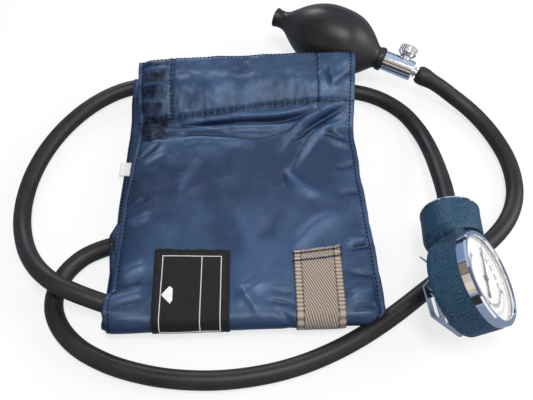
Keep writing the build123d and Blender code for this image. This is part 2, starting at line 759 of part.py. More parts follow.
# The sector's fan starts one tooth past the pinion and ends past the full swing
tooth_step = 360 / sector_teeth
fan_low = mesh_angle - sector_swing - 2 * tooth_step
fan_count = round(sector_swing / tooth_step) + 4
fan_high = fan_low + (fan_count - 1) * tooth_step
with BuildPart() as sector_gear:
    with BuildSketch(dial_level(gear_depth + gear_thick)):
        with BuildLine():
            rim = toothed_arc(sector_pivot, sector_pitch, fan_low, fan_count, tooth_step)
            Polyline((sector_pivot[0], sector_pivot[1]), *rim, close=True)
        make_face()
        with Locations(sector_pivot):
            Circle(1.8)
    extrude(amount=gear_thick)
    with BuildSketch(dial_level(bottom_plate_depth + plate_thick)):
        with Locations(sector_pivot):
            Circle(arbor_radius)
    extrude(amount=bottom_plate_depth + plate_thick - top_plate_depth)
    with BuildSketch(dial_level(stem_depth + 0.8)):
        with Locations((sector_pivot[0] + (lever_arm + 1) / 2, sector_pivot[1])):
            Rectangle(lever_arm + 1, 2 * pin_radius)
        with Locations(sector_pivot):
            Circle(1.4)
    extrude(amount=1.6)

arbor_top = pointer_depth - arbor_proud
with BuildPart() as pointer_arbor:
    with BuildSketch(dial_level(bottom_plate_depth + plate_thick)):
        Circle(arbor_radius)
    extrude(amount=bottom_plate_depth + plate_thick - arbor_top)
    with BuildSketch(dial_level(gear_depth + gear_thick + 0.2)):
        with BuildLine():
            first_tooth = mesh_angle + 180 + 180 / pinion_teeth
            Polyline(*toothed_arc((0, 0), pinion_pitch, first_tooth, pinion_teeth, 360 / pinion_teeth),
                     close=True)
        make_face()
    extrude(amount=gear_thick + 0.4)
    with BuildSketch(dial_level(hairspring_depth + hairspring_tall)):
        Circle(hairspring_start - hairspring_strip / 2 - hairspring_gap)
    extrude(amount=hairspring_tall)

with BuildPart() as hairspring:
    with BuildSketch(dial_level(hairspring_depth + hairspring_tall)):
        with BuildLine() as coil:
            reach = hairspring_start
            side = 1
            for half in range(2 * hairspring_turns):
                step = hairspring_pitch / 2
                CenterArc((side * step / 2, 0), reach + step / 2, 0 if side < 0 else 180, -180)
                reach = reach + step
                side = -side
        trace(line_width=hairspring_strip)
    extrude(amount=hairspring_tall)

with BuildPart() as pointer:
    with BuildSketch(dial_level(pointer_depth + pointer_thick)):
        with BuildLine():
            Polyline((-0.55, 0), (-0.16, -pointer_reach), (0.16, -pointer_reach), (0.55, 0), (0.4, pointer_tail - 3),
                     (0.9, pointer_tail - 2.5), (0.9, pointer_tail), (-0.9, pointer_tail),
                     (-0.9, pointer_tail - 2.5), (-0.4, pointer_tail - 3), close=True)
        make_face()
        Circle(pointer_hub)
        Circle(arbor_radius, mode=Mode.SUBTRACT)
    extrude(amount=pointer_thick)

# Stem: capsule, push pin, end cap and hose port
port_start = cap_face - end_cap_thick - end_cap_spigot - port_inner
capsule_end = port_start - fit_gap
capsule_start = capsule_end - capsule_cells * capsule_cell
bellows = [(0, capsule_start), (capsule_waist, capsule_start)]
lining = [(0, capsule_start + capsule_skin), (capsule_waist - capsule_skin, capsule_start + capsule_skin)]
for cell in range(capsule_cells):
    foot = capsule_start + cell * capsule_cell
    for rise, radius in ((0.6, capsule_waist), (1.3, capsule_radius), (2.3, capsule_radius), (3.0, capsule_waist)):
        bellows.append((radius, foot + rise))
    for rise, radius in ((0.6, capsule_waist - 0.5), (1.6, capsule_radius - 1.2), (2.0, capsule_radius - 1.2),
                         (3.0, capsule_waist - 0.5)):
        lining.append((radius, foot + rise))
bellows += [(capsule_waist, capsule_end), (0, capsule_end)]
lining += [(capsule_waist - capsule_skin, capsule_end - capsule_skin), (0, capsule_end - capsule_skin)]
with BuildPart() as pressure_capsule:
    add(turned(stem_section, stem_axis, bellows))
    add(turned(stem_section, stem_axis, lining), mode=Mode.SUBTRACT)
    add(rod(stem_section, stem_axis, air_bore, capsule_end - 1, capsule_end + 1), mode=Mode.SUBTRACT)

pin_tip = -sector_pivot[1] + pin_radius + pin_gap
with BuildPart() as push_pin:
    add(rod(stem_section, stem_axis, pin_radius, pin_tip, capsule_start - fit_gap))
    add(rod(stem_section, stem_axis, pin_head, capsule_start - fit_gap - pin_head_thick, capsule_start - fit_gap))

with BuildPart() as end_cap:
    add(turned(stem_section, stem_axis, [
        (port_boss + hose_fit, drum_far - end_cap_spigot), (drum_bore - hose_fit, drum_far - end_cap_spigot),
        (drum_bore - hose_fit, drum_far + hose_fit), (end_cap_radius, drum_far + hose_fit),
        (end_cap_radius, cap_face - 0.6), (end_cap_radius - 0.6, cap_face), (port_boss + hose_fit, cap_face)]))

with BuildPart() as gauge_port:
    add(turned(stem_section, stem_axis, [
        (air_bore, port_start), (port_boss, port_start), (port_boss, cap_face),
        (hose_bore / 2 - hose_fit, cap_face), (hose_bore / 2 - hose_fit, cap_face + port_grip),
        (air_bore, cap_face + port_grip)]))

# Clip on the back of the case
clip_line = [(y, case_back - clip_seat - away) for y, away in clip_path]
with BuildPart() as gauge_clip:
    with BuildSketch(side_section.offset(-clip_width / 2)):
        with BuildLine():
            FilletPolyline(*clip_line, radius=clip_bend)
        trace(line_width=clip_thick)
    extrude(amount=clip_width)
    with BuildSketch(dial_level(case_depth + clip_path[4][1] + 2)):
        with Locations((0, clip_slot_at)):
            SlotOverall(clip_slot[1], clip_slot[0], rotation=90)
    extrude(amount=clip_path[4][1] - 2, mode=Mode.SUBTRACT)
    with BuildSketch(dial_level(case_depth + 2)):
        with Locations(*clip_screw_spots):
            Circle(screw_radius + hose_fit)
    extrude(amount=2.5, mode=Mode.SUBTRACT)

with BuildPart() as clip_screws:
    with BuildSketch(dial_level(case_depth + clip_thick + fit_gap + screw_head_thick)):
        with Locations(*clip_screw_spots):
            Circle(clip_screw_head)
    extrude(amount=screw_head_thick)
    with BuildSketch(dial_level(case_depth + clip_thick + fit_gap)):
        with Locations(*clip_screw_spots):
            Circle(screw_radius)
    extrude(amount=clip_thick + fit_gap + case_wall)

# Bulb
bulb_outline = bulb_tail_part + [(r, bulb_length - back) for r, back in bulb_collar_part]
inner_outline = [(r - bulb_wall, b) for r, b in bulb_outline[2:]]
with BuildPart() as bulb:
    with BuildSketch(bulb_section):
        with BuildLine():
            Spline(*bulb_outline, tangents=((-0.1, 1), (-0.6, 1)))
            Polyline(bulb_outline[-1], (bulb_collar, bulb_outline[-1][1] + 1.2),
                     (bulb_collar + collar_ring, bulb_length - 3.2),
                     (bulb_collar + collar_ring, bulb_length - 0.6),
                     (bulb_collar, bulb_length), (0, bulb_length), (0, 0), bulb_outline[0])
        make_face()
    revolve(axis=bulb_axis)
    with BuildSketch(bulb_section):
        with BuildLine():
            Spline(*inner_outline)
            Polyline(inner_outline[-1], (collar_bore, inner_outline[-1][1] + 0.5), (collar_bore, bulb_length + 1),
                     (0, bulb_length + 1), (0, -1), (nozzle_bore, -1), (nozzle_bore, inner_outline[0][1] - 1),
                     inner_outline[0])
        make_face()
    revolve(axis=bulb_axis, mode=Mode.SUBTRACT)

# Inlet valve in the bulb's tail
seat_lift = sqrt(ball_radius ** 2 - seat_radius ** 2) + 0.03
inlet_seat = insert_start + 2.5
retainer_start = inlet_seat + seat_lift + ball_radius + ball_travel + stop_gap
insert_end = retainer_start + retainer_thick
with BuildPart() as inlet_valve:
    add(turned(bulb_section, bulb_axis, [
        (seat_radius, insert_start), (nozzle_bore - hose_fit, insert_start), (nozzle_bore - hose_fit, insert_end),
        (chamber_radius, insert_end), (chamber_radius, inlet_seat), (seat_radius, inlet_seat)]))

with BuildPart() as inlet_ball:
    add(ball(bulb_section, bulb_axis, ball_radius, inlet_seat + seat_lift))

with BuildPart() as inlet_retainer:
    add(bored(bulb_section, bulb_axis, seat_radius, chamber_radius - hose_fit, retainer_start, insert_end))
    with BuildSketch(Plane(origin=bulb_tail + bulb_dir * retainer_start, x_dir=bulb_up, z_dir=bulb_dir)):
        Rectangle(2 * chamber_radius, stop_slot)
    extrude(amount=retainer_thick / 2, mode=Mode.SUBTRACT)

# Release valve: body, check ball, spindle and knob
spigot_start = bulb_length - spigot_length
seat_end = spigot_start + seat_length
chamber_end = seat_end + seat_lift + ball_radius + ball_travel + stop_gap
with BuildPart() as valve_body:
    add(turned(bulb_section, bulb_axis, [
        (0, spigot_start), (collar_bore - hose_fit, spigot_start), (collar_bore - hose_fit, bulb_length + fit_gap),
        (valve_radius - valve_edge, bulb_length + fit_gap), (valve_radius, bulb_length + fit_gap + valve_edge),
        (valve_radius, valve_end - valve_edge), (valve_radius - valve_edge, valve_end), (0, valve_end)]))
    add(rod(knob_section, knob_axis, turret_radius, 0, turret_height))
    add(rod(bulb_section, bulb_axis, chamber_radius, spigot_start - 1, chamber_end), mode=Mode.SUBTRACT)
    add(rod(bulb_section, bulb_axis, air_bore, chamber_end - 1, valve_end), mode=Mode.SUBTRACT)
    with BuildSketch(Plane(origin=bulb_tail + bulb_dir * chamber_end, x_dir=bulb_up, z_dir=bulb_dir)):
        Rectangle(2 * chamber_radius, stop_slot)
    extrude(amount=retainer_thick / 2, mode=Mode.SUBTRACT)
    add(rod(bulb_section, bulb_axis, barb_neck + hose_fit, valve_end - barb_socket, valve_end + 1),
        mode=Mode.SUBTRACT)
    add(rod(knob_section, knob_axis, spindle_radius + hose_fit, spindle_start + 0.9, turret_height + 1),
        mode=Mode.SUBTRACT)
    add(rod(knob_section, knob_axis, spindle_tip + 0.1, 0, spindle_start + 1), mode=Mode.SUBTRACT)

with BuildPart() as outlet_seat:
    add(bored(bulb_section, bulb_axis, seat_radius, chamber_radius - hose_fit, spigot_start, seat_end))

with BuildPart() as outlet_ball:
    add(ball(bulb_section, bulb_axis, ball_radius, seat_end + seat_lift))

barb_tip = valve_end + barb_gap + barb_grip
with BuildPart() as hose_barb:
    add(turned(bulb_section, bulb_axis, [
        (air_bore, valve_end - barb_socket + fit_gap), (barb_neck, valve_end - barb_socket + fit_gap),
        (barb_neck, valve_end + 0.8), (barb_ring, valve_end + 0.8), (barb_ring, valve_end + 1.7),
        (barb_neck, valve_end + 1.7), (barb_neck, valve_end + barb_gap),
        (hose_bore / 2 - hose_fit, valve_end + barb_gap + 0.6),
        (hose_bore / 2 - hose_fit, barb_tip - 1), (barb_neck, barb_tip), (air_bore, barb_tip)]))

seal_start = turret_height - 3.0
with BuildPart() as release_spindle:
    add(turned(knob_section, knob_axis, [
        (0, spindle_start), (spindle_tip, spindle_start), (spindle_tip, spindle_start + 1.0),
        (spindle_radius, spindle_start + 1.0), (spindle_radius, knob_start - fit_gap),
        (spindle_neck, knob_start - fit_gap), (spindle_neck, spindle_end), (0, spindle_end)]))
    add(bored(knob_section, knob_axis, spindle_radius - seal_depth, spindle_radius + 1,
              seal_start, seal_start + seal_width), mode=Mode.SUBTRACT)

knob_end = knob_start + knob_length
with BuildPart() as release_knob:
    add(turned(knob_section, knob_axis, [
        (spindle_neck + hose_fit, knob_start), (knob_radius - knob_chamfer, knob_start),
        (knob_radius, knob_start + knob_chamfer), (knob_radius, knob_end - knob_edge),
        (knob_radius - knob_edge, knob_end),
        (0, knob_end), (0, spindle_end + 0.3), (spindle_neck + hose_fit, spindle_end + 0.3)]))
    knob_plane = Plane(origin=knob_foot + knob_dir * (knob_start + knob_chamfer), x_dir=bulb_dir, z_dir=knob_dir)
    with BuildSketch(knob_plane):
        with PolarLocations(knob_radius + 0.1, knob_grooves):
            Circle(knob_groove_depth + 0.1)
    extrude(amount=knob_length, mode=Mode.SUBTRACT)

with BuildPart() as spindle_seal:
    add(bored(knob_section, knob_axis, spindle_radius - seal_depth, spindle_radius,
              seal_start + 0.05, seal_start + seal_width - 0.05))

pieces = {
    "cuff_outer_cloth": cuff_outer_cloth, "cuff_inner_cloth": cuff_inner_cloth, "bladder": bladder,
    "hook_patch": hook_patch, "loop_patch": loop_patch, "marker_label": marker_label,
    "gauge_strap": gauge_strap, "size_tag": size_tag, "gauge_hose": gauge_hose, "bulb_hose": bulb_hose,
    "gauge_case": gauge_case, "bezel": bezel, "crystal": crystal, "crystal_gasket": crystal_gasket,
    "dial_plate": dial_plate, "dial_screws": dial_screws, "movement_top_plate": movement_top_plate,
    "movement_bottom_plate": movement_bottom_plate, "movement_pillars": movement_pillars,
    "movement_screws": movement_screws, "sector_gear": sector_gear, "pointer_arbor": pointer_arbor,
    "hairspring": hairspring, "pointer": pointer, "pressure_capsule": pressure_capsule,
    "push_pin": push_pin, "end_cap": end_cap, "gauge_port": gauge_port, "gauge_clip": gauge_clip,
    "clip_screws": clip_screws, "bulb": bulb, "inlet_valve": inlet_valve, "inlet_ball": inlet_ball,
    "inlet_retainer": inlet_retainer, "valve_body": valve_body, "outlet_seat": outlet_seat,
    "outlet_ball": outlet_ball, "hose_barb": hose_barb, "release_spindle": release_spindle,
    "release_knob": release_knob, "spindle_seal": spindle_seal,
}
for node, piece in pieces.items():
    piece.part.label = node
    export_step(piece.part, f"parts/{node}.step")
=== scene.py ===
"""Looks of an aneroid sphygmomanometer: folded nylon cuff, rubber hoses and bulb, gauge, release valve.

Lengths in this script are millimetres until a mesh is made, as in the part's source.
"""

from math import cos, pi, radians, sin

import bpy
import numpy as np
from mathutils import Matrix, Quaternion, Vector, noise


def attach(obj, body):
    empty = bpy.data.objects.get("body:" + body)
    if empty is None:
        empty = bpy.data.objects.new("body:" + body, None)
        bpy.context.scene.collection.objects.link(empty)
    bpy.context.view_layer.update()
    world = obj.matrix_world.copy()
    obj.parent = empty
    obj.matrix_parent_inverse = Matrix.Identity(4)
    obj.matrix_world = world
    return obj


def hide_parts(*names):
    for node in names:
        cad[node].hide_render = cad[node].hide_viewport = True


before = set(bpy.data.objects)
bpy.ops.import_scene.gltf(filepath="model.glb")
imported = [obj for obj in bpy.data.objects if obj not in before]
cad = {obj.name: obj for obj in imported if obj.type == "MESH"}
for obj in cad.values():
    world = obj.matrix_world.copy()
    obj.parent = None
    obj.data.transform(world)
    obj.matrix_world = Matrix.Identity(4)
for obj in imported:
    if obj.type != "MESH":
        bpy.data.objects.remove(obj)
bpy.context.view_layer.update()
scene = bpy.context.scene

MM = 0.001
SET = "set"

# Camera
CAMERA_PLACE = (11.5, -188.5, 292.7)
CAMERA_TILT = 32.0
CAMERA_LENS = 40.19

# Hoses: the routes of the part's source
HOSE_RADIUS = 4.75
HOSE_BORE = 2.4
HOSE_SIDES = 28
FLOOR = HOSE_RADIUS
GAUGE_HOSE_ROUTE = [
    (-68.3, -75.0, 12.6), (-88.0, -69.8, 16.9), (-104.5, -59.4, 16.9), (-119.2, -39.8, 8.0),
    (-127.0, -15.3, FLOOR), (-125.6, 13.1, FLOOR), (-115.4, 41.5, FLOOR), (-96.3, 66.2, FLOOR),
    (-72.0, 79.8, FLOOR), (-33.0, 78.8, FLOOR), (8.0, 77.4, FLOOR), (47.0, 75.9, FLOOR),
    (76.4, 72.6, FLOOR), (96.0, 58.8, FLOOR), (105.5, 41.3, 5.2), (108.9, 22.0, 9.4),
    (109.0, 3.5, 15.8), (109.32, -13.68, 19.41), (108.37, -27.43, 21.21),
]
BULB_HOSE_ROUTE = [
    (-70.3, -38.0, 5.8), (-83.2, -41.8, 5.0), (-92.9, -50.7, FLOOR), (-97.8, -60.7, FLOOR),
    (-98.4, -72.7, FLOOR), (-93.8, -82.9, FLOOR), (-86.0, -91.5, FLOOR), (-75.7, -98.5, FLOOR),
    (-58.5, -105.6, FLOOR), (-33.6, -110.6, FLOOR), (-3.6, -110.8, FLOOR), (30.3, -103.7, FLOOR),
    (65.8, -86.0, FLOOR), (106.0, -55.2, FLOOR), (139.0, -32.3, FLOOR), (153.8, -10.4, FLOOR),
    (156.6, 14.8, FLOOR), (150.7, 37.8, FLOOR), (140.8, 56.2, 5.4), (127.6, 67.2, 9.2),
    (117.6, 72.1, 14.5), (106.31, 78.32, 16.70),
]
# Outer radius towards a hose's far end, by distance from that end
STEM_FLARE = [(0.0, 5.5), (0.5, 5.72), (2.0, 5.5), (6.0, 5.1), (10.0, HOSE_RADIUS)]
BARB_FLARE = [(0.0, 4.5), (0.5, 5.05), (1.4, 5.5), (3.0, 5.75), (5.5, 5.7), (9.0, 5.1),
              (11.5, HOSE_RADIUS)]

# Gauge and bulb axes
GAUGE_CENTRE = Vector((116.8, -71.3, 38.0))
DIAL_AZIMUTH = 3.2
DIAL_ELEVATION = 43.6
STEM_ROLL = -10.3
DIAL_FRONT = 3.2
NUMBER_RING = 13.2
NUMBER_SIZE = 3.0
PRINT_HEIGHT = 0.03
BULB_TAIL = Vector((17.4, 120.6, 25.0))
BULB_AIM = Vector((67.5, -32.1, -6.3))
BULB_OUTLINE = [(0.0, 6.1), (7.0, 5.9), (12.0, 9.2), (20.6, 15.6), (33.0, 20.4), (44.0, 21.1),
                (55.0, 19.2), (63.2, 14.2), (70.2, 7.6)]

# Cuff: one long strip folded in three, told along its middle
CUFF_FRONT_FOLD = -79.9
FOLD_MIDDLE = 9.2
TOP_LEVEL = 12.6
MID_LEVEL = 5.8
LOW_LEVEL = 0.85
BACK_EDGE = 79.8
BACK_FOLD = 72.75
RAMP_FOOT = 34.0
RAMP_HEAD = 64.0
CHANNEL = 10.0
HEM = 3.6
HEM_THICK = 0.45
CLOTH = 0.45
BAG_ROOM = 1.9
MOUTH_HALF = 5.05
PUCKER = 3.8
SIDE_SEAMS = (-45.6, 41.8)
LOW_FRONT_EDGE = -79.5
# Left and right edges of the top leaf, from front to back, and of the lower leaves
EDGE_PLACES = (-90, -80, -50, -14, 0, 24, 40, 60, 78)
LEFT_EDGE = (-67.2, -67.2, -67.3, -67.6, -66.4, -65.0, -64.5, -66.5, -67.6)
RIGHT_EDGE = (70.6, 70.8, 69.2, 66.4, 65.2, 63.4, 63.6, 64.6, 65.6)
LOWER_EDGES = (-71.3, 62.5)
TOP_LEFT = -66
TOP_WIDTH = 134
# Swell of the top leaf over its even form: rows from front to back, each from left to right
SWELL_PLACES = (-42.0, -18.0, 8.0, 34.0, 49.0, 64.0, 79.5)
SWELL = np.array([
    (0.0, 0.0, 0.0, 0.0, 0.0, 0.0),
    (0.5, 0.9, 1.0, 1.0, 1.1, 0.5),
    (0.7, 1.0, 1.1, 0.9, 1.4, 0.7),
    (0.9, 1.2, 1.6, 1.7, 2.2, 1.2),
    (0.9, 1.8, 2.7, 3.4, 4.1, 3.6),
    (0.9, 2.3, 3.5, 4.5, 5.4, 5.8),
    (1.4, 3.3, 5.1, 6.8, 8.2, 9.2),
])


# Meshes


def turn_matrix(right, up, forward, place):
    """Matrix that takes local x, y, z to three directions and the origin to a place in millimetres."""
    columns = Matrix((right, up, forward)).transposed().to_4x4()
    return Matrix.Translation(Vector(place)) @ columns


def piece_from(name, points, faces, material, uv=None, smooth=True):
    """Object from points in millimetres. uv is one (u, v) in metres for each point."""
    mesh = bpy.data.meshes.new(name)
    mesh.from_pydata((np.asarray(points, float) * MM).tolist(), [], faces)
    mesh.polygons.foreach_set("use_smooth", [smooth] * len(mesh.polygons))
    if uv is not None:
        layer = mesh.uv_layers.new(name="UVMap")
        corner = np.zeros(len(mesh.loops), int)
        mesh.loops.foreach_get("vertex_index", corner)
        layer.data.foreach_set("uv", np.asarray(uv, float)[corner].ravel())
    mesh.materials.append(material)
    mesh.update()
    made = bpy.data.objects.new(name, mesh)
    scene.collection.objects.link(made)
    return made


def grid_faces(rows, columns, closed=False, flip=False):
    """Quads of a rows x columns grid of points, with its columns closed to a ring if asked."""
    across = columns if closed else columns - 1
    r, c = np.meshgrid(np.arange(rows - 1), np.arange(across), indexing="ij")
    d = (c + 1) % columns
    quads = np.stack([r * columns + c, r * columns + d, (r + 1) * columns + d, (r + 1) * columns + c], -1)
    quads = quads.reshape(-1, 4)
    return (quads[:, ::-1] if flip else quads).tolist()


def grid_piece(name, points, uv, material, flip=False):
    """Sheet through a grid of points, rows x columns x 3."""
    rows, columns = points.shape[:2]
    return piece_from(name, points.reshape(-1, 3), grid_faces(rows, columns, flip=flip), material,
                      np.asarray(uv).reshape(-1, 2))


def store(piece, name, values):
    """Number for each point, kept as an attribute that a material can read."""
    made = piece.data.attributes.new(name, "FLOAT", "POINT")
    made.data.foreach_set("value", np.asarray(values, np.float32).ravel())


def thicken(piece, thickness):
    """Gives a sheet its thickness, below the face it was drawn on."""
    wall = piece.modifiers.new("thickness", "SOLIDIFY")
    wall.thickness = thickness * MM
    wall.offset = -1.0
    wall.use_even_offset = False


def evaluated(piece):
    """New mesh of an object as its modifiers or its curve make it."""
    bpy.context.view_layer.update()
    return bpy.data.meshes.new_from_object(piece.evaluated_get(bpy.context.evaluated_depsgraph_get()))


def dressed(piece, node=None):
    """Ties a piece to the set body, in place of a CAD node if one is named."""
    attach(piece, SET)
    if node:
        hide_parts(node)


def lathe(name, outline, matrix, material, segments):
    """Turned piece about local z from an outline of (height, radius), with a UV map round and along it."""
    heights, radii = np.array(outline, float).T
    turn = np.linspace(0, 2 * pi, segments, endpoint=False)
    ring = np.stack([np.cos(turn), np.sin(turn)], -1)
    flat = radii[:, None, None] * ring[None]
    local = np.concatenate([flat, np.repeat(heights[:, None, None], segments, 1)], -1)
    rotate = np.array(matrix.to_3x3())
    points = local.reshape(-1, 3) @ rotate.T + np.array(matrix.translation)
    run = np.concatenate([[0], np.cumsum(np.hypot(np.diff(heights), np.diff(radii)))])
    uv = np.stack(np.broadcast_arrays(turn[None] / (2 * pi), run[:, None] * MM), -1)
    return piece_from(name, points, grid_faces(len(outline), segments, closed=True), material,
                      uv.reshape(-1, 2))


def rounded(outline, radius, steps=4):
    """Outline with each inner corner rounded by an arc-like curve."""
    points = [Vector(p) for p in outline]
    out = [points[0]]
    for before, here, after in zip(points, points[1:], points[2:]):
        reach = min(radius, 0.45 * (before - here).length, 0.45 * (after - here).length)
        start = here + (before - here).normalized() * reach
        end = here + (after - here).normalized() * reach
        for step in range(steps + 1):
            t = step / steps
            out.append(start * (1 - t) ** 2 + here * 2 * t * (1 - t) + end * t ** 2)
    out.append(points[-1])
    return [tuple(p) for p in out]


def smooth_line(knots, count):
    """Smooth curve through knots: a cubic spline with free ends, at count even places."""
    knots = np.array(knots, float)
    at = np.concatenate([[0], np.cumsum(np.linalg.norm(np.diff(knots, axis=0), axis=1))])
    n = len(at)
    step = np.diff(at)
    matrix, right = np.eye(n), np.zeros((n, knots.shape[1]))
    for i in range(1, n - 1):
        matrix[i, i - 1:i + 2] = step[i - 1], 2 * (step[i - 1] + step[i]), step[i]
        right[i] = 6 * ((knots[i + 1] - knots[i]) / step[i] - (knots[i] - knots[i - 1]) / step[i - 1])
    bend = np.linalg.solve(matrix, right)
    where = np.linspace(0, at[-1], count)
    i = np.clip(np.searchsorted(at, where, side="right") - 1, 0, n - 2)
    h, a, b = step[i][:, None], (at[i + 1] - where)[:, None], (where - at[i])[:, None]
    return (bend[i] * a ** 3 + bend[i + 1] * b ** 3) / (6 * h) \
        + (knots[i] / h - bend[i] * h / 6) * a + (knots[i + 1] / h - bend[i + 1] * h / 6) * b


def ease(x):
    """Smooth step from 0 to 1."""
    x = np.clip(x, 0, 1)
    return x * x * (3 - 2 * x)


def swell(x):
    """Quarter-round rise from 0 to 1."""
    x = np.clip(x, 0, 1)
    return np.sqrt(1 - (1 - x) ** 2)


def rumple(x, y, size, seed):
    """Soft noise at places of a flat field in millimetres, about -1 to 1."""
    where = np.stack([x, y, 0 * x], -1).reshape(-1, 3) / size + seed
    values = [noise.fractal(Vector(p), 0.7, 2.1, 3) for p in where]
    return np.array(values).reshape(x.shape)


def bearing(azimuth, elevation):
    """Unit direction at an azimuth and an elevation in degrees."""
    a, e = radians(azimuth), radians(elevation)
    return Vector((cos(e) * cos(a), cos(e) * sin(a), sin(e)))


# Materials


def nodes_of(made):
    """Nodes of a material or a world, switched on."""
    made.use_nodes = True
    return made.node_tree.nodes


def wired(made, inputs):
    """Node with each input set, or linked to a socket or to another node's first output."""
    for name, value in inputs.items():
        if isinstance(value, bpy.types.Node):
            value = value.outputs[0]
        if isinstance(value, bpy.types.NodeSocket):
            made.id_data.links.new(value, made.inputs[name])
        else:
            made.inputs[name].default_value = value
    return made


def toned(colour, times, plus=0.0):
    """Colour made paler or duller."""
    return tuple(min(1.0, c * times + plus) for c in colour)


class Finish:
    """A material and short ways to add its nodes."""

    def __init__(self, name, colour, **sockets):
        self.material = bpy.data.materials.new(name)
        self.nodes = nodes_of(self.material)
        self.shader = wired(self.nodes["Principled BSDF"], {"Base Color": (*colour, 1)})
        wired(self.shader, {socket.replace("_", " "): value for socket, value in sockets.items()})

    def node(self, kind, **inputs):
        """First output of a new node whose inputs are given by name."""
        named = {name.replace("_", " "): value for name, value in inputs.items()}
        return wired(self.nodes.new("ShaderNode" + kind), named).outputs[0]

    def link(self, socket, name):
        """Feeds one of the shader's sockets."""
        wired(self.shader, {name: socket})

    def place(self, kind="Object"):
        """Texture coordinates by name."""
        return self.nodes.new("ShaderNodeTexCoord").outputs[kind]

    def mapped(self, source, scale=(1, 1, 1), turn=(0, 0, 0)):
        """Coordinates scaled and turned."""
        return self.node("Mapping", Vector=source, Scale=scale, Rotation=turn)

    def grain(self, source, scale, detail=3.0, rough=0.55):
        """Noise as a number from 0 to 1."""
        return self.node("TexNoise", Vector=source, Scale=scale, Detail=detail, Roughness=rough)

    def math(self, way, first, second=0.0, third=0.0):
        """Arithmetic on numbers."""
        made = self.nodes.new("ShaderNodeMath")
        made.operation = way
        return wired(made, {0: first, 1: second, 2: third}).outputs[0]

    def blend(self, *parts):
        """Sum of numbers, each with its share."""
        first, share = parts[0]
        total = self.math("MULTIPLY", first, share)
        for part, share in parts[1:]:
            total = self.math("MULTIPLY_ADD", part, share, total)
        return total

    def ramp(self, factor, *stops):
        """Colour ramp of (place, colour) stops."""
        made = wired(self.nodes.new("ShaderNodeValToRGB"), {0: factor})
        band = made.color_ramp
        while len(band.elements) < len(stops):
            band.elements.new(0.5)
        for element, (place, colour) in zip(band.elements, stops):
            element.position = place
            element.color = (*colour, 1)
        return made.outputs[0]

    def span(self, factor, low, high):
        """Number moved from 0..1 to low..high."""
        return self.node("MapRange", Value=factor, To_Min=low, To_Max=high)

    def mix(self, factor, first, second):
        """Colour between two colours, each a socket or a tuple of three numbers."""
        made = self.nodes.new("ShaderNodeMix")
        made.data_type = "RGBA"
        first, second = ((*c, 1) if isinstance(c, tuple) else c for c in (first, second))
        return wired(made, {0: factor, 6: first, 7: second}).outputs[2]

    def bump(self, height, strength, depth):
        """Feeds the normal from a height, with the depth in millimetres."""
        self.link(self.node("Bump", Height=height, Strength=strength, Distance=depth * MM), "Normal")

    def attribute(self, name):
        """Number stored on the mesh."""
        made = self.nodes.new("ShaderNodeAttribute")
        made.attribute_name = name
        return made.outputs["Fac"]


def satin_nylon(name, deep, pale):
    """Navy nylon satin: fine plain weave, wrinkle troughs painted darker and crests paler as painted shade
    and highlight, faint streaks and rubbed-off ink.
    """
    f = Finish(name, deep, Roughness=0.4, Sheen_Weight=0.03, Sheen_Roughness=0.35,
               Sheen_Tint=(0.55, 0.7, 1, 1), Specular_Tint=(0.56, 0.75, 1, 1))
    cloth, ink, fold_shade = f.place("UV"), f.attribute("ink"), f.attribute("fold_shade")
    warp, weft = (f.node("TexWave", Vector=threads, Scale=560.0, Distortion=0.6, Detail=1.0)
                  for threads in (cloth, f.mapped(cloth, turn=(0, 0, radians(90)))))
    streaks = f.grain(f.mapped(cloth, scale=(1.0, 0.12, 1.0)), 700.0, 4.0)
    patches = f.grain(f.place(), 30.0, 2.5)
    # Painted shade and highlight: the wrinkle height stored on the mesh darkens the troughs and pales the
    # crests.
    tone_and_fold_shade = f.blend((patches, 0.72), (streaks, 0.26), (fold_shade, 0.46))
    f.link(f.mix(ink, f.ramp(tone_and_fold_shade, (0.3, deep), (0.78, pale)), (0.005, 0.005, 0.007)), "Base Color")
    f.link(f.span(ink, 0.8, 0.15), "Specular IOR Level")
    f.link(f.math("MULTIPLY_ADD", fold_shade, -0.07, f.span(patches, 0.32, 0.5)), "Roughness")
    f.bump(f.math("MULTIPLY_ADD", streaks, 0.6, f.math("MULTIPLY", warp, weft)), 0.35, 0.12)
    return f.material


def rubber(name, tint, roughness):
    """Black rubber with dust in its pores and faint drag lines along it."""
    f = Finish(name, tint, Specular_IOR_Level=0.32)
    pores = f.grain(f.place(), 900.0, 4.0)
    lines = f.grain(f.mapped(f.place("UV"), scale=(60.0, 3.0, 1.0)), 6.0, 3.0)
    dust = f.grain(f.place(), 45.0, 5.0)
    f.link(f.ramp(f.blend((dust, 0.7), (lines, 0.3)), (0.35, tint), (0.75, toned(tint, 2.1, 0.004))),
           "Base Color")
    f.link(f.span(dust, roughness - 0.07, roughness + 0.1), "Roughness")
    f.bump(f.math("MULTIPLY_ADD", lines, 0.8, pores), 0.25, 0.1)
    return f.material


def crinkle_enamel(name):
    """Blue baked enamel with a crinkled skin and light rubbed specks."""
    f = Finish(name, (0.022, 0.066, 0.125), Specular_IOR_Level=0.3, Roughness=0.42)
    spot = f.place()
    skin = f.node("TexVoronoi", Vector=spot, Scale=1000.0)
    fine = f.grain(spot, 1100.0, 3.0, 0.6)
    broad = f.grain(spot, 60.0, 3.0)
    specks = f.grain(spot, 1700.0, 2.0, 0.6)
    base = f.ramp(f.blend((fine, 0.7), (broad, 0.3)),
                  (0.36, (0.006, 0.026, 0.058)), (0.64, (0.028, 0.085, 0.15)))
    light = f.ramp(specks, (0.6, (0, 0, 0)), (0.7, (1, 1, 1)))
    f.link(f.mix(f.math("MULTIPLY", light, 0.55), base, (0.12, 0.24, 0.36)), "Base Color")
    f.link(f.span(fine, 0.34, 0.55), "Roughness")
    f.bump(f.math("ADD", skin, fine), 0.8, 0.22)
    return f.material


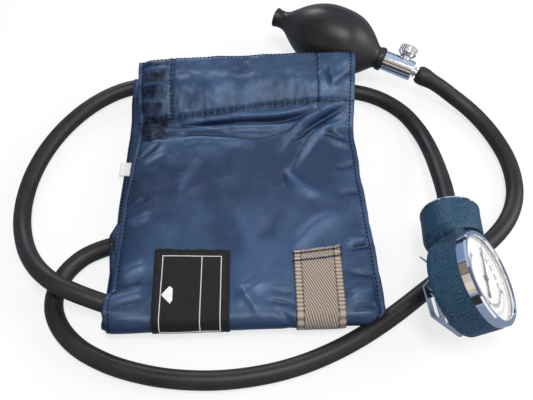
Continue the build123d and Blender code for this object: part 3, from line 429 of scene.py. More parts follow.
def plated(name, colour, roughness, scratch=0.04):
    """Bright plated or plain metal with hairline scratches."""
    f = Finish(name, colour, Metallic=1.0)
    spot = f.place()
    lines = f.grain(f.mapped(spot, scale=(1.0, 14.0, 3.0)), 500.0, 3.0)
    cloud = f.grain(spot, 70.0, 3.0)
    f.link(f.ramp(cloud, (0.35, colour), (0.8, toned(colour, 0.86))), "Base Color")
    f.link(f.span(lines, roughness, roughness + scratch), "Roughness")
    f.bump(lines, 0.009, 0.01)
    return f.material


def moulded(name, colour, roughness, scale=500.0, depth=0.03):
    """Plain painted, sintered or moulded surface with a fine grain."""
    f = Finish(name, colour, Roughness=roughness)
    spot = f.place()
    fine = f.grain(spot, scale, 4.0)
    cloud = f.grain(spot, 50.0, 3.0)
    f.link(f.ramp(cloud, (0.35, colour), (0.8, toned(colour, 0.9))), "Base Color")
    f.link(f.span(fine, roughness - 0.05, roughness + 0.08), "Roughness")
    f.bump(fine, 0.3, depth)
    return f.material


def woven_tape(name, crest, valley_shade):
    """Heavy woven tape, coloured by the relief stored on its mesh, with painted shade: the valleys between
    the threads are painted dark.
    """
    f = Finish(name, crest, Roughness=0.75, Sheen_Weight=0.2)
    relief, fuzz = f.attribute("relief"), f.grain(f.place("UV"), 2600.0, 4.0, 0.7)
    between = tuple(0.5 * a + 0.5 * b for a, b in zip(crest, valley_shade))
    # The valley colour is painted shade in the weave's gaps.
    f.link(f.ramp(f.blend((relief, 0.8), (fuzz, 0.35)), (0.15, valley_shade), (0.5, between), (0.85, crest)),
           "Base Color")
    f.bump(f.math("MULTIPLY_ADD", relief, 2.0, fuzz), 0.6, 0.12)
    return f.material


def woven_label(name, colour):
    """Fine satin-woven label cloth."""
    f = Finish(name, colour, Roughness=0.6, Sheen_Weight=0.05, Specular_IOR_Level=0.15)
    cloth = f.place("UV")
    ribs = f.node("TexWave", Vector=f.mapped(cloth, turn=(0, 0, radians(90))), Scale=700.0, Distortion=1.0,
                  Detail=2.0)
    fuzz = f.grain(cloth, 900.0, 4.0)
    f.link(f.ramp(f.blend((ribs, 0.4), (fuzz, 0.6)), (0.3, colour), (0.85, toned(colour, 1.7, 0.006))),
           "Base Color")
    f.bump(f.math("ADD", ribs, fuzz), 0.5, 0.08)
    return f.material


def thread(name, colour):
    """Twisted sewing thread."""
    f = Finish(name, colour, Roughness=0.6, Specular_IOR_Level=0.15)
    spot = f.place()
    twist = f.node("TexWave", Vector=f.mapped(spot, turn=(0.3, 0.2, 0.8)), Scale=900.0, Distortion=1.5)
    f.link(f.ramp(twist, (0.2, colour), (0.9, toned(colour, 1.5, 0.002))), "Base Color")
    f.bump(twist, 0.4, 0.05)
    return f.material


def window_glass(name):
    """Flat clear glass that lets the dial show."""
    f = Finish(name, (1, 1, 1), IOR=1.5, Alpha=0.08)
    smear = f.grain(f.place(), 90.0, 2.0)
    f.link(f.span(smear, 0.02, 0.05), "Roughness")
    return f.material


NAVY = satin_nylon("navy_satin", (0.002, 0.01, 0.04), (0.029, 0.062, 0.136))
NAVY_INSIDE = satin_nylon("navy_satin_inside", (0.01, 0.024, 0.06), (0.026, 0.05, 0.105))
HOSE_RUBBER = rubber("hose_rubber", (0.0135, 0.012, 0.0112), 0.42)
BULB_RUBBER = rubber("bulb_rubber", (0.0135, 0.0122, 0.0118), 0.34)
BLADDER_RUBBER = rubber("bladder_rubber", (0.013, 0.012, 0.012), 0.6)
ENAMEL = crinkle_enamel("blue_crinkle_enamel")
CHROME = plated("chrome", (0.86, 0.88, 0.91), 0.05)
NICKEL = plated("knurled_nickel", (0.6, 0.59, 0.57), 0.24, 0.1)
STEEL = plated("steel", (0.6, 0.6, 0.62), 0.25, 0.1)
BRASS = plated("brass", (0.72, 0.5, 0.2), 0.25, 0.12)
CLIP_STEEL = plated("clip_plate", (0.74, 0.72, 0.7), 0.1, 0.06)
CAPSULE = plated("capsule_bronze", (0.66, 0.42, 0.22), 0.3, 0.12)
DIAL_WHITE = moulded("dial_white", (0.86, 0.85, 0.83), 0.45, 700.0, 0.01)
DIAL_INK = moulded("dial_ink", (0.035, 0.035, 0.045), 0.5, 900.0, 0.01)
POINTER_BLACK = moulded("pointer_black", (0.012, 0.012, 0.016), 0.35, 600.0, 0.01)
SEAL_BLACK = moulded("seal_black", (0.015, 0.015, 0.015), 0.55)
SEAL_WHITE = moulded("seal_white", (0.74, 0.72, 0.69), 0.5)
GLASS = window_glass("gauge_glass")
HOOK = moulded("hook_bristle", (0.012, 0.02, 0.045), 0.7, 1400.0, 0.5)
LOOP = moulded("loop_pile", (0.015, 0.026, 0.055), 0.85, 700.0, 0.5)
LABEL = woven_label("black_label", (0.008, 0.008, 0.009))
TAG = woven_label("white_tag", (0.8, 0.76, 0.69))
# Its second colour is painted shade, for the weave's valleys.
WEBBING = woven_tape("beige_webbing", (0.56, 0.46, 0.36), (0.05, 0.04, 0.032))
DARK_THREAD = thread("dark_thread", (0.002, 0.003, 0.008))
BLACK_THREAD = thread("black_thread", (0.01, 0.01, 0.011))
WHITE_THREAD = thread("white_thread", (0.62, 0.61, 0.6))
WHITE_CLOTH = woven_label("white_weave", (0.72, 0.71, 0.69))
NAVY_THREAD = thread("navy_thread", (0.006, 0.016, 0.05))


# Hoses


def hose_path(name, route):
    """Places along a hose's NURBS line, in millimetres."""
    line = bpy.data.curves.new(name + "_line", "CURVE")
    line.dimensions = "3D"
    line.resolution_u = 14
    spline = line.splines.new("NURBS")
    spline.points.add(len(route) - 1)
    for point, place in zip(spline.points, route):
        point.co = (*(c * MM for c in place), 1)
    spline.order_u = 3
    spline.use_endpoint_u = True
    guide = bpy.data.objects.new(name + "_line", line)
    scene.collection.objects.link(guide)
    read = evaluated(guide)
    places = np.array([v.co for v in read.vertices], float) / MM
    bpy.data.objects.remove(guide)
    bpy.data.meshes.remove(read)
    return places


def carried_frames(places):
    """Two directions square to the line at each place, carried along without twist."""
    heading = np.gradient(places, axis=0)
    heading /= np.linalg.norm(heading, axis=1)[:, None]
    side = np.cross(heading[0], (0, 0, 1))
    side /= np.linalg.norm(side)
    sides = []
    for h in heading:
        side = side - h * side.dot(h)
        side /= np.linalg.norm(side)
        sides.append(side)
    sides = np.array(sides)
    return sides, np.cross(heading, sides)


def hose(name, route, flare, node):
    """Rubber hose on the route's line, stretched wider over its last fitting, with open ends."""
    places = hose_path(name, route)
    run = np.concatenate([[0], np.cumsum(np.linalg.norm(np.diff(places, axis=0), axis=1))])
    radius = np.interp(run[-1] - run, *zip(*flare))
    sides, ups = carried_frames(places)
    turn = np.linspace(0, 2 * pi, HOSE_SIDES, endpoint=False)
    ring = np.cos(turn)[None, :, None] * sides[:, None] + np.sin(turn)[None, :, None] * ups[:, None]
    # Each end turns in over a rounded rim to the bore, which goes a few places deep
    first, last = np.zeros(4, int), np.full(4, len(places) - 1)
    order = np.concatenate([[3], first, np.arange(len(places)), last, [len(places) - 4]])
    start_radii = [HOSE_BORE, HOSE_BORE, HOSE_BORE + 0.3, HOSE_RADIUS - 0.5, HOSE_RADIUS - 0.12]
    end_radii = [radius[-1] - 0.25, radius[-1] - 0.9, HOSE_BORE + 0.3, HOSE_BORE, HOSE_BORE]
    radii = np.concatenate([start_radii, radius, end_radii])
    points = places[order][:, None] + ring[order] * radii[:, None, None]
    uv = np.stack(np.broadcast_arrays(turn[None] / (2 * pi), run[order][:, None] * MM), -1)
    faces = grid_faces(len(order), HOSE_SIDES, closed=True, flip=True)
    tube = piece_from(name, points.reshape(-1, 3), faces, HOSE_RUBBER, uv.reshape(-1, 2))
    dressed(tube, node)


hose("gauge_tube", GAUGE_HOSE_ROUTE, STEM_FLARE, "gauge_hose")
hose("bulb_tube", BULB_HOSE_ROUTE, BARB_FLARE, "bulb_hose")


# Cuff


def lift(y):
    """How far the cuff is raised over the hose that runs under its back."""
    return CHANNEL * ease((y - RAMP_FOOT) / (RAMP_HEAD - RAMP_FOOT))


def fold_arc(centre, radius, first, sweep, count):
    """Arc in the YZ plane, without its first point."""
    turn = np.radians(np.linspace(first, first + sweep, count + 1)[1:])
    return np.stack([centre[0] + radius * np.cos(turn), centre[1] + radius * np.sin(turn)], -1)


class Strip:
    """Middle line of the folded cuff in the YZ plane, with its fullness and its two long edges."""

    def __init__(self, fine, coarse):
        top = np.arange(BACK_EDGE, CUFF_FRONT_FOLD, -fine)
        mid = np.arange(CUFF_FRONT_FOLD, BACK_FOLD, coarse)[1:]
        low = np.arange(BACK_FOLD, LOW_FRONT_EDGE, -coarse)[1:]
        front = fold_arc((CUFF_FRONT_FOLD, FOLD_MIDDLE), (TOP_LEVEL - MID_LEVEL) / 2, 90, 180, 24)
        back_radius = (MID_LEVEL - LOW_LEVEL) / 2
        back = fold_arc((BACK_FOLD, CHANNEL + LOW_LEVEL + back_radius), back_radius, 90, -180, 8)
        leaves = [np.stack([y, level + lift(y)], -1)
                  for y, level in ((top, TOP_LEVEL), (mid, MID_LEVEL), (low, LOW_LEVEL))]
        self.line = np.concatenate([leaves[0], front, leaves[1], back, leaves[2]])
        step = np.gradient(self.line, axis=0)
        step /= np.linalg.norm(step, axis=1)[:, None]
        self.out = np.stack([step[:, 1], -step[:, 0]], -1)
        self.run = np.concatenate([[0], np.cumsum(np.linalg.norm(np.diff(self.line, axis=0), axis=1))])
        self.front_run = self.run[len(top) - 1]
        self.mid_run = self.run[len(top) + len(front) - 1]
        self.back_run = self.run[len(top) + len(front) + len(mid) - 1]
        turned = ease((self.run - self.front_run) / (self.mid_run - self.front_run))
        left, right = (np.interp(self.line[:, 0], EDGE_PLACES, edge) for edge in (LEFT_EDGE, RIGHT_EDGE))
        self.left = left + (LOWER_EDGES[0] - left) * turned
        self.right = right + (LOWER_EDGES[1] - right) * turned

    def fullness(self, run):
        """Half thickness of the strip away from its hems."""
        back = self.back_run
        return np.interp(run, [0, self.mid_run, back - 50, back - 10, back, back + 30],
                         [2.7, 2.7, 2.6, 1.5, 1.1, 0.85])

    def at(self, values, run):
        """Value kept for each row of the strip, read at other places along it."""
        return np.interp(run, self.run, values)


strip = Strip(fine=0.85, coarse=5.0)
FRONT = strip.front_run

# Wrinkles of the top leaf: (places, width, height), all drawn a little taller and narrower
WRINKLE_RISE = 1.9
WRINKLE_SPREAD = 0.85
WRINKLES = [
    ([(-45, 35.6), (-26, 36.6), (-4, 38.8), (20, 39.8), (42, 44.8)], 1.5, -1.5),
    ([(-46, 38.4), (-26, 39.8), (-4, 42), (20, 43.4), (42, 47.2)], 1.9, 0.8),
    ([(-48, 32), (-26, 33.2), (-4, 34.8), (20, 36.2), (34, 39.5)], 2.3, 1.1),
    ([(-52, 26), (-40, 29.2), (-27, 29.8), (-12, 29), (2, 27.2), (19, 30.4), (26, 33.4)], 1.7, -0.8),
    ([(-48, 23), (-30, 25.8), (-10, 25.2), (8, 25)], 4, 0.6),
    ([(19, 8), (22, 13.4), (29, 26), (37.5, 35.2), (47.5, 41.4), (61.5, 49)], 1.8, -1.3),
    ([(15, 12), (24, 27), (33, 38.2), (45, 45), (60, 52)], 2.2, 0.8),
    ([(25, 3), (33, 17), (42, 30), (53, 37), (62, 41)], 2.6, 1.2),
    ([(45, 32.2), (52, 29), (58, 26)], 1.6, -1),
    ([(44, 28.5), (52, 24), (60, 22)], 2.4, 0.6),
    ([(47, 70.5), (48, 63), (50, 56.5)], 1.4, -0.8),
    ([(50, 57), (57, 62), (64, 69)], 1.6, -0.7),
    ([(52, 66), (56, 69), (60, 74)], 2.2, 0.5),
    ([(-64, 11.5), (-58, 16.5), (-50, 23.2)], 1.8, -0.9),
    ([(-62, 8), (-55, 13), (-45, 19.5)], 2.6, 0.6),
    ([(-62, 24), (-54, 27), (-47, 31)], 1.4, -0.6),
    ([(-60, 42.5), (-52, 38), (-47, 36)], 1.4, -0.6),
    ([(-40, -12), (-33, 0), (-26, 14)], 2.6, 0.5),
    ([(22, 6), (27, -3), (34, -9), (44, -12)], 4, 0.9),
    ([(10, 14), (16, 2), (22, -8)], 5, -0.5),
    ([(8, -44), (12, -34), (20, -19)], 6, -0.5),
    ([(26, -46), (33, -36), (42, -28), (54, -22)], 5, 0.9),
    ([(-8, -20), (0, -36), (4, -52)], 7, 0.5),
    ([(16, -78.5), (20, -81), (25, -83.5)], 1.2, -0.8),
    ([(12, -74), (18, -75), (25, -76.5)], 1.3, -0.6),
    ([(14, -68), (19, -69.5), (25, -71)], 1.5, -0.4),
    ([(-3, -66), (2, -71.5), (9, -82)], 3, 0.8),
    ([(-5, -76), (6, -66), (16, -62)], 3.5, 0.5),
    ([(55, -45.6), (60, -44), (67, -42)], 1.4, -0.8),
    ([(53, -41), (60, -39.5), (67, -38)], 2, 0.5),
    ([(53, -58), (60, -60), (68, -60)], 1.8, -0.5),
    ([(52, -74), (60, -70), (69, -69)], 2.4, 0.5),
    ([(53, -80), (60, -78), (69, -79)], 1.6, -0.6),
    ([(-66, -60), (-58, -56.5), (-50, -53)], 3.5, 0.7),
    ([(-66, -66), (-58, -64), (-50, -63)], 2.2, -0.5),
    ([(-66, -78), (-60, -74), (-50, -72)], 2, -0.6),
    ([(-66, -74), (-60, -70.5), (-50, -68)], 2, 0.4),
    ([(-66, -30), (-58, -28), (-50, -24)], 3, 0.5),
    ([(-66, -22), (-60, -18), (-52, -12)], 2.6, -0.5),
    ([(64, 12), (58, 8), (50, 6)], 2.2, -0.6),
    ([(65, -10), (58, -10), (50, -14)], 3, -0.5),
]


def stroke(x, y, places, width):
    """How strongly each point lies under a soft stroke through places, from 0 to 1."""
    line = smooth_line(places, 4 * len(places))
    best, share = np.full(np.shape(x), np.inf), np.zeros(np.shape(x))
    length = len(line) - 1
    for i, (a, b) in enumerate(zip(line, line[1:])):
        d = b - a
        t = np.clip(((x - a[0]) * d[0] + (y - a[1]) * d[1]) / d.dot(d), 0, 1)
        away = np.hypot(x - a[0] - t * d[0], y - a[1] - t * d[1])
        nearer = away < best
        best = np.where(nearer, away, best)
        share = np.where(nearer, (i + t) / length, share)
    taper = ease(np.minimum(share, 1 - share) / 0.3) * 0.85 + 0.15
    return np.exp(-(best / width) ** 2) * taper


def swell_at(x, y):
    """Swell of the top leaf at x and y, smooth between the given places."""
    across = np.clip((x - TOP_LEFT) / TOP_WIDTH * 5, 0, 5)
    column = np.clip(across.astype(int), 0, 4)
    along = np.interp(y, SWELL_PLACES, np.arange(7))
    row = np.clip(along.astype(int), 0, 5)
    a, b = ease(across - column), ease(along - row)
    low = SWELL[row, column] * (1 - a) + SWELL[row, column + 1] * a
    high = SWELL[row + 1, column] * (1 - a) + SWELL[row + 1, column + 1] * a
    return low * (1 - b) + high * b


def mouths(run):
    """How far the left hem is opened at each place along the strip, round the two hoses' ends."""
    return sum(np.exp(-((run - place) / 7.0) ** 4) for place in (FRONT - 4.6, strip.mid_run + 41.4))


def seam_y(x):
    """Line of the hem seam across the top leaf."""
    return np.interp(x, [-68, -63, -45, -16, 14, 42, 66], [38.6, 39.2, 41.8, 45.2, 48.4, 50.0, 50.4])


def top_relief(x, y):
    """Height of the top leaf's wrinkles, seams and soft swell over its even form."""
    height = np.zeros(np.shape(x))
    for places, width, tall in WRINKLES:
        height += WRINKLE_RISE * tall * stroke(x, y, places, WRINKLE_SPREAD * width)
    slack = 0.35 + 0.65 * ease((y - 10) / 25)
    height += 1.2 * rumple(x, y, 46.0, 3.7) + 0.5 * slack * rumple(x, y, 13.0, 9.1) \
        + 0.14 * slack * rumple(x, y, 4.0, 5.3)
    # Seams pull the cloth in, a little more at each puckered stitch
    past_seam = y - seam_y(x)
    height -= (0.75 + 0.2 * np.sin(2 * pi * x / PUCKER)) * np.exp(-(past_seam / 1.2) ** 2)
    behind = past_seam > 0
    for line_x in SIDE_SEAMS:
        height -= (0.6 + 0.15 * np.sin(2 * pi * y / PUCKER)) * behind * np.exp(-((x - line_x) / 1.1) ** 2)
    height += behind * 0.5 * swell(past_seam / 14)
    return height


def cuff_surface(strip_x, run, side, offset=0.0):
    """Place on the cuff at x and a run along the strip. side is 1 on the outer skin and -1 on the inner."""
    x, run = np.broadcast_arrays(np.asarray(strip_x, float), np.asarray(run, float))
    y, z = (strip.at(strip.line[:, i], run) for i in (0, 1))
    ny, nz = (strip.at(strip.out[:, i], run) for i in (0, 1))
    left, right = strip.at(strip.left, run), strip.at(strip.right, run)
    inward = np.minimum(x - left, right - x)
    # Thin hems that round up to the full thickness, sooner at the front fold
    turned = np.exp(-((run - FRONT - 10.7) / 11.0) ** 4)
    rise = swell((inward - HEM * (1 - 0.6 * turned)) / (11.0 - 7.0 * turned))
    end = swell(run / 3.5)
    half = HEM_THICK + (strip.fullness(run) - HEM_THICK) * rise * (0.35 + 0.65 * end)
    # Swell and wrinkles of the top leaf
    on_top = 1 - ease((run - FRONT) / 12)
    raise_by = on_top * swell_at(x, y)
    if side > 0:
        lively = on_top * ease((inward - 1.0) / 5.0) * (0.25 + 0.75 * end)
        half = half + lively * top_relief(x, y)
        # Room for the bladder
        inside = ease((inward - 11) / 4) * ease((run - 52) / 6)
        half = np.where(half < BAG_ROOM, half + (BAG_ROOM - half) * inside, half)
    else:
        raise_by = raise_by * (1 - 0.45 * rise)
    # Hem opened round the two hoses, and puckered along its stitches
    opened = mouths(run)
    mouth = opened * np.exp(-(np.maximum(x - left, 0) / 13.0) ** 2)
    half = half + np.maximum(MOUTH_HALF - half, 0) * mouth
    pucker = np.exp(-((inward - HEM - 1.5) / 2.4) ** 2)
    half = half + 0.2 * pucker * rumple(x * 0.2, run, 3.2, 1.3) + offset
    # Uneven edges, pulled out at the hoses, and folds that lie a little askew
    ragged = 0.5 * rumple(np.sign(x) * 40, run, 17.0, 6.1) * np.clip(1 - inward / 10, 0, 1)
    pulled = 2.0 * opened * np.clip(1 - (x - left) / 14, 0, 1)
    skew = (0.036 * (x + 64) - 3.0) * np.exp(-(np.maximum(y - CUFF_FRONT_FOLD, 0) / 22.0) ** 2) \
        * (1 - ease((run - strip.mid_run) / 20))
    skew = skew + on_top * 1.1 * (x - TOP_LEFT) / TOP_WIDTH * ease((y - 46) / 30)
    return np.stack([x + ragged - pulled, y + ny * half * side + skew, z + nz * half * side + raise_by], -1)


def cuff_skin(name, columns, rows_run, side, material, node):
    """One skin of the cuff, from edge to edge, with the x and run of each of its points."""
    share = np.linspace(0, 1, columns)[None]
    left, right = (strip.at(edge, rows_run[:, None]) for edge in (strip.left, strip.right))
    x, run = np.broadcast_arrays(left + (right - left) * share, rows_run[:, None])
    skin = grid_piece(name, cuff_surface(x, run, side), np.stack([x, run], -1) * MM, material, side > 0)
    thicken(skin, CLOTH)
    dressed(skin, node)
    return skin, x, run


# Rubbed ink near the top leaf's left edge: (x, y, half width, half depth)
INK_SPOTS = [(-56.5, 66.5, 7.0, 4.6), (-57.0, 56.5, 6.8, 3.6), (-57.5, 47.6, 7.2, 3.0),
             (-55.0, 40.0, 7.6, 4.2), (-56.0, 33.5, 7.8, 3.4), (-54.5, 28.5, 8.2, 2.6),
             (-57.0, 75.0, 9.0, 1.6)]


def rubbed_ink(x, y):
    """How black the ink is at each place, with blotches rubbed out."""
    ink = np.zeros(x.shape)
    for spot_x, spot_y, wide, deep in INK_SPOTS:
        away = np.maximum(np.abs(x - spot_x) / wide, np.abs(y - spot_y) / deep)
        ink = np.maximum(ink, ease((1.15 - away) / 0.3))
    return ink * np.clip(0.75 + 0.5 * rumple(x, y, 3.5, 7.7), 0, 0.92)


outer_skin, skin_x, skin_run = cuff_skin("cuff_outer_skin", 160, strip.run, 1, NAVY, "cuff_outer_cloth")
skin_y = strip.at(strip.line[:, 0], skin_run)
top_leaf = skin_run < FRONT
store(outer_skin, "ink", rubbed_ink(skin_x, skin_y) * top_leaf)
# Painted shade and highlight for the cloth's colour: wrinkle height, clipped; it also lowers the roughness
# on the crests.
store(outer_skin, "fold_shade", np.clip(top_relief(skin_x, skin_y) / 1.6, -1, 1) * top_leaf)
cuff_skin("cuff_inner_skin", 64, strip.run[::2], -1, NAVY_INSIDE, "cuff_inner_cloth")


# Bladder between the skins, with the two necks that the hoses push onto


NECK = [(-10, 3.0), (-0.3, 3.0), (-0.1, 2.8), (-0.1, 2.3), (7, 2.3), (7, 1.4), (-10, 1.4)]
NECK_SIDES = 24
BAG_SIDES = 48


def neck_tube(points, faces, route):
    """Adds a neck to a list of points and faces: a short tube on the line of a hose's first run."""
    start, aim = Vector(route[0]), (Vector(route[1]) - Vector(route[0])).normalized()
    side = aim.cross(Vector((0, 0, 1))).normalized()
    up = side.cross(aim)
    first = len(points)
    for along, radius in NECK:
        for turn in np.linspace(0, 2 * pi, NECK_SIDES, endpoint=False):
            points.append(tuple(start + aim * along + (side * cos(turn) + up * sin(turn)) * radius))
    faces += [[first + i for i in face] for face in grid_faces(len(NECK), NECK_SIDES, closed=True)]


def bladder_bag():
    """Flat rubber bag folded with the strip."""
    rows = np.concatenate([np.arange(58.5, FRONT, 6.0), np.linspace(FRONT, strip.mid_run, 14),
                           np.arange(strip.mid_run + 6, strip.mid_run + 107.9, 6.0)])
    turn = np.linspace(0, 2 * pi, BAG_SIDES, endpoint=False)
    across = -4.5 + 57.0 * np.sign(np.cos(turn)) * np.abs(np.cos(turn)) ** 0.25
    half = 1.3 * np.sin(turn)
    from_end = np.minimum(np.arange(len(rows)), np.arange(len(rows))[::-1])
    shrink = np.array([0.15, 0.7, 0.95, 1.0])[np.minimum(from_end, 3)][:, None]
    y, z = (strip.at(strip.line[:, i], rows)[:, None] for i in (0, 1))
    ny, nz = (strip.at(strip.out[:, i], rows)[:, None] for i in (0, 1))
    bag = np.stack([np.broadcast_to(across, (len(rows), BAG_SIDES)), y + ny * half * shrink,
                    z + nz * half * shrink], -1)
    points = bag.reshape(-1, 3).tolist()
    faces = grid_faces(len(rows), BAG_SIDES, closed=True)
    faces += [list(range(BAG_SIDES)), list(range(len(points) - BAG_SIDES, len(points)))[::-1]]
    for route in (GAUGE_HOSE_ROUTE, BULB_HOSE_ROUTE):
        neck_tube(points, faces, route)
    return piece_from("bladder_bag", points, faces, BLADDER_RUBBER, np.array(points)[:, :2] * MM)


bag = bladder_bag()
dressed(bag, "bladder")


def flat_patch(name, x_span, y_span, level, material, node):
    """Tape patch between the leaves: a slightly rumpled sheet that lies on a skin."""
    x, y = np.broadcast_arrays(np.linspace(*x_span, 60)[None], np.linspace(*y_span, 40)[:, None])
    z = level + lift(y) + 0.06 * rumple(x, y, 9.0, 2.2)
    patch = grid_piece(name, np.stack([x, y, z], -1), np.stack([x, y], -1) * MM, material)
    thicken(patch, 1.0)
    dressed(patch, node)


flat_patch("hook_tape", (-46.0, 42.0), (44.0, 72.7), 9.7, HOOK, "hook_patch")
flat_patch("loop_tape", (-52.5, 43.5), (-70.0, 18.0), 2.9, LOOP, "loop_patch")


# Sewn-on label, strap and tag


def run_at(y):
    """Run along the strip of a place on the top leaf."""
    top = strip.run <= FRONT
    return np.interp(-np.asarray(y, float), -strip.line[:, 0][top], strip.run[top])


def patch_on_cuff(name, x_left, x_right, run_start, run_end, shape, material, offset, relief=None):
    """Piece laid on the outer skin, with each point's distance from its left edge and its run.

    Its edges are given at the start and the end of its run.
    """
    rows, columns = shape
    share = np.linspace(0, 1, columns)[None]
    along = np.linspace(0, 1, rows)[:, None]
    left, right = (edge[0] + (edge[1] - edge[0]) * along for edge in (x_left, x_right))
    x = left + (right - left) * share
    start = run_start[0] + (run_start[1] - run_start[0]) * share
    start = start + 0.5 * rumple(x[:1], 0 * x[:1], 4.0, 8.8)
    run = start + (run_end - start) * along
    height = offset if relief is None else offset + relief(x - left, run)
    uv = np.stack([x - left, run], -1) * MM
    return grid_piece(name, cuff_surface(x, run, 1, height), uv, material, flip=True), x - left, run


def length_on_cuff(x, run_start, run_end, offset):
    """Length over the skin at x, in metres, round the fold too."""
    rows = np.linspace(run_start, run_end, 200)
    steps = np.diff(cuff_surface(x + 0 * rows, rows, 1, offset), axis=0)
    return float(np.linalg.norm(steps, axis=1).sum()) * MM


LABEL_OFFSET = 0.62
LABEL_END = FRONT + 8.8
LABEL_START = (float(run_at(-45.6)), float(run_at(-46.0)))
label, _, _ = patch_on_cuff("woven_label", (-46.6, -44.9), (-7.2, -6.6), LABEL_START, LABEL_END, (90, 60),
                            LABEL, LABEL_OFFSET)
thicken(label, 0.5)
dressed(label, "marker_label")

STRAP_WIDTH = 24.6
SELVEDGE = 3.7
RELIEF = 0.3


def webbing_relief(across, run):
    """Ribbed selvedges and a diagonal twill between them, in millimetres."""
    edge = np.minimum(across, STRAP_WIDTH - across)
    rib = np.abs(np.sin(pi * run / 2.1))
    twill = 0.5 + 0.5 * np.sin(2 * pi * (across - 0.52 * run) / 1.35)
    thread_break = 0.5 + 0.5 * np.sin(2 * pi * (across * 0.5 + run) / 1.15)
    middle = twill * (0.7 + 0.3 * thread_break)
    blend = ease((edge - SELVEDGE) / 0.5)
    channel = np.exp(-((edge - SELVEDGE) / 0.35) ** 2)
    side = (0.1 + 0.58 * rib) * (1 - blend) - 0.6 * np.exp(-(edge / 0.5) ** 2)
    return RELIEF * (side + middle * blend - 0.5 * channel)


STRAP_START = (float(run_at(-47.4)), float(run_at(-43.4)))
STRAP_END = FRONT + 19.0
strap, strap_across, strap_run = patch_on_cuff(
    "webbing_strap", (25.4, 26.8), (25.4 + STRAP_WIDTH, 26.8 + STRAP_WIDTH), STRAP_START, STRAP_END,
    (300, 110), WEBBING, 1.0, webbing_relief)
# The relief is also read as painted shade, darkening the weave's valleys and the gaps by the selvedges.
store(strap, "relief", webbing_relief(strap_across, strap_run) / RELIEF)
thicken(strap, 0.9)
dressed(strap, "gauge_strap")
length_on_cuff(38.5, STRAP_START[0], STRAP_END, 1.0)


def size_tag():
    """Small folded tag that sticks out from the left edge."""
    x, y = np.broadcast_arrays(np.linspace(-73.4, -60.0, 20)[None], np.linspace(5.4, 14.6, 14)[:, None])
    z = 9.25 + 0.5 * ease((-66 - x) / 7) + 0.15 * rumple(x, y, 5.0, 4.0)
    uv = np.stack([x, y], -1) * MM
    tag = grid_piece("size_tag_cloth", np.stack([x, y + 0.06 * (x + 60), z], -1), uv, TAG)
    thicken(tag, 0.55)
    dressed(tag, "size_tag")


size_tag()


# Stitches: Geometry Nodes lay small rounded threads along lines


def node_group(name, **sizes):
    """Geometry node group with named sizes and a material, its way to add a node, and its inputs."""
    tree = bpy.data.node_groups.new(name, "GeometryNodeTree")
    tree.interface.new_socket("Geometry", in_out="INPUT", socket_type="NodeSocketGeometry")
    for size, value in sizes.items():
        kind = "NodeSocketInt" if isinstance(value, int) else "NodeSocketFloat"
        tree.interface.new_socket(size, in_out="INPUT", socket_type=kind).default_value = value
    tree.interface.new_socket("Material", in_out="INPUT", socket_type="NodeSocketMaterial")
    tree.interface.new_socket("Geometry", in_out="OUTPUT", socket_type="NodeSocketGeometry")
    return tree, tree.nodes.new, tree.nodes.new("NodeGroupInput").outputs


def end_with(new, lay, sizes, smooth):
    """Ends a tree: its instances are made real, shaded and given the material."""
    real = wired(new("GeometryNodeRealizeInstances"), {0: lay})
    shade = wired(new("GeometryNodeSetShadeSmooth"), {0: real, "Shade Smooth": smooth})
    paint = wired(new("GeometryNodeSetMaterial"), {"Geometry": shade, "Material": sizes["Material"]})
    wired(new("NodeGroupOutput"), {0: paint})


def stitch_tree():
    """Threads of a given length and thickness, one each pitch along the input's lines."""
    tree, new, sizes = node_group("stitches", Pitch=2.0 * MM, Length=1.5 * MM, Thickness=0.4 * MM)
    curve = wired(new("GeometryNodeMeshToCurve"), {0: sizes["Geometry"]})
    even = new("GeometryNodeResampleCurve")
    even.mode = "LENGTH"
    wired(even, {"Curve": curve, "Length": sizes["Pitch"]})
    points = new("GeometryNodeCurveToPoints")
    points.mode = "EVALUATED"
    wired(points, {0: even})
    bead = wired(new("GeometryNodeMeshUVSphere"), {"Segments": 8, "Rings": 6, "Radius": 0.5})
    thick = sizes["Thickness"]
    size = wired(new("ShaderNodeCombineXYZ"), {"X": thick, "Y": thick, "Z": sizes["Length"]})
    stitch = wired(new("GeometryNodeTransform"), {"Geometry": bead, "Scale": size})
    lay = wired(new("GeometryNodeInstanceOnPoints"),
                {"Points": points, "Instance": stitch, "Rotation": points.outputs["Rotation"]})
    end_with(new, lay, sizes, True)
    return tree


def made_by(tree, name, points, edges, material, **sizes):
    """Plain mesh that a Geometry Nodes tree makes from points in millimetres and edges."""
    mesh = bpy.data.meshes.new(name)
    mesh.from_pydata((np.array(points, float) * MM).tolist(), edges, [])
    base = bpy.data.objects.new(name, mesh)
    scene.collection.objects.link(base)
    step = base.modifiers.new("made", "NODES")
    step.node_group = tree
    sizes["Material"] = material
    for item in tree.interface.items_tree:
        if item.in_out == "INPUT" and item.name in sizes:
            step[item.identifier] = sizes[item.name]
    base.data = evaluated(base)
    base.modifiers.remove(step)
    bpy.data.meshes.remove(mesh)
    base.data.name = name
    return base


STITCHES = stitch_tree()


def sewn(name, lines, material, pitch, length, thickness):
    """Rows of stitches along lines of points in millimetres."""
    points, edges = [], []
    for line in lines:
        first = len(points)
        points += [tuple(p) for p in line]
        edges += [(i, i + 1) for i in range(first, first + len(line) - 1)]
    rows = made_by(STITCHES, name, points, edges, material, Pitch=pitch * MM, Length=length * MM,
                   Thickness=thickness * MM)
    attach(rows, SET)
    return rows


def on_cuff(x, run, offset, side=1):
    """Line of places on the cuff's outer skin, or on the inner one."""
    return cuff_surface(np.asarray(x, float), np.asarray(run, float), side, offset)


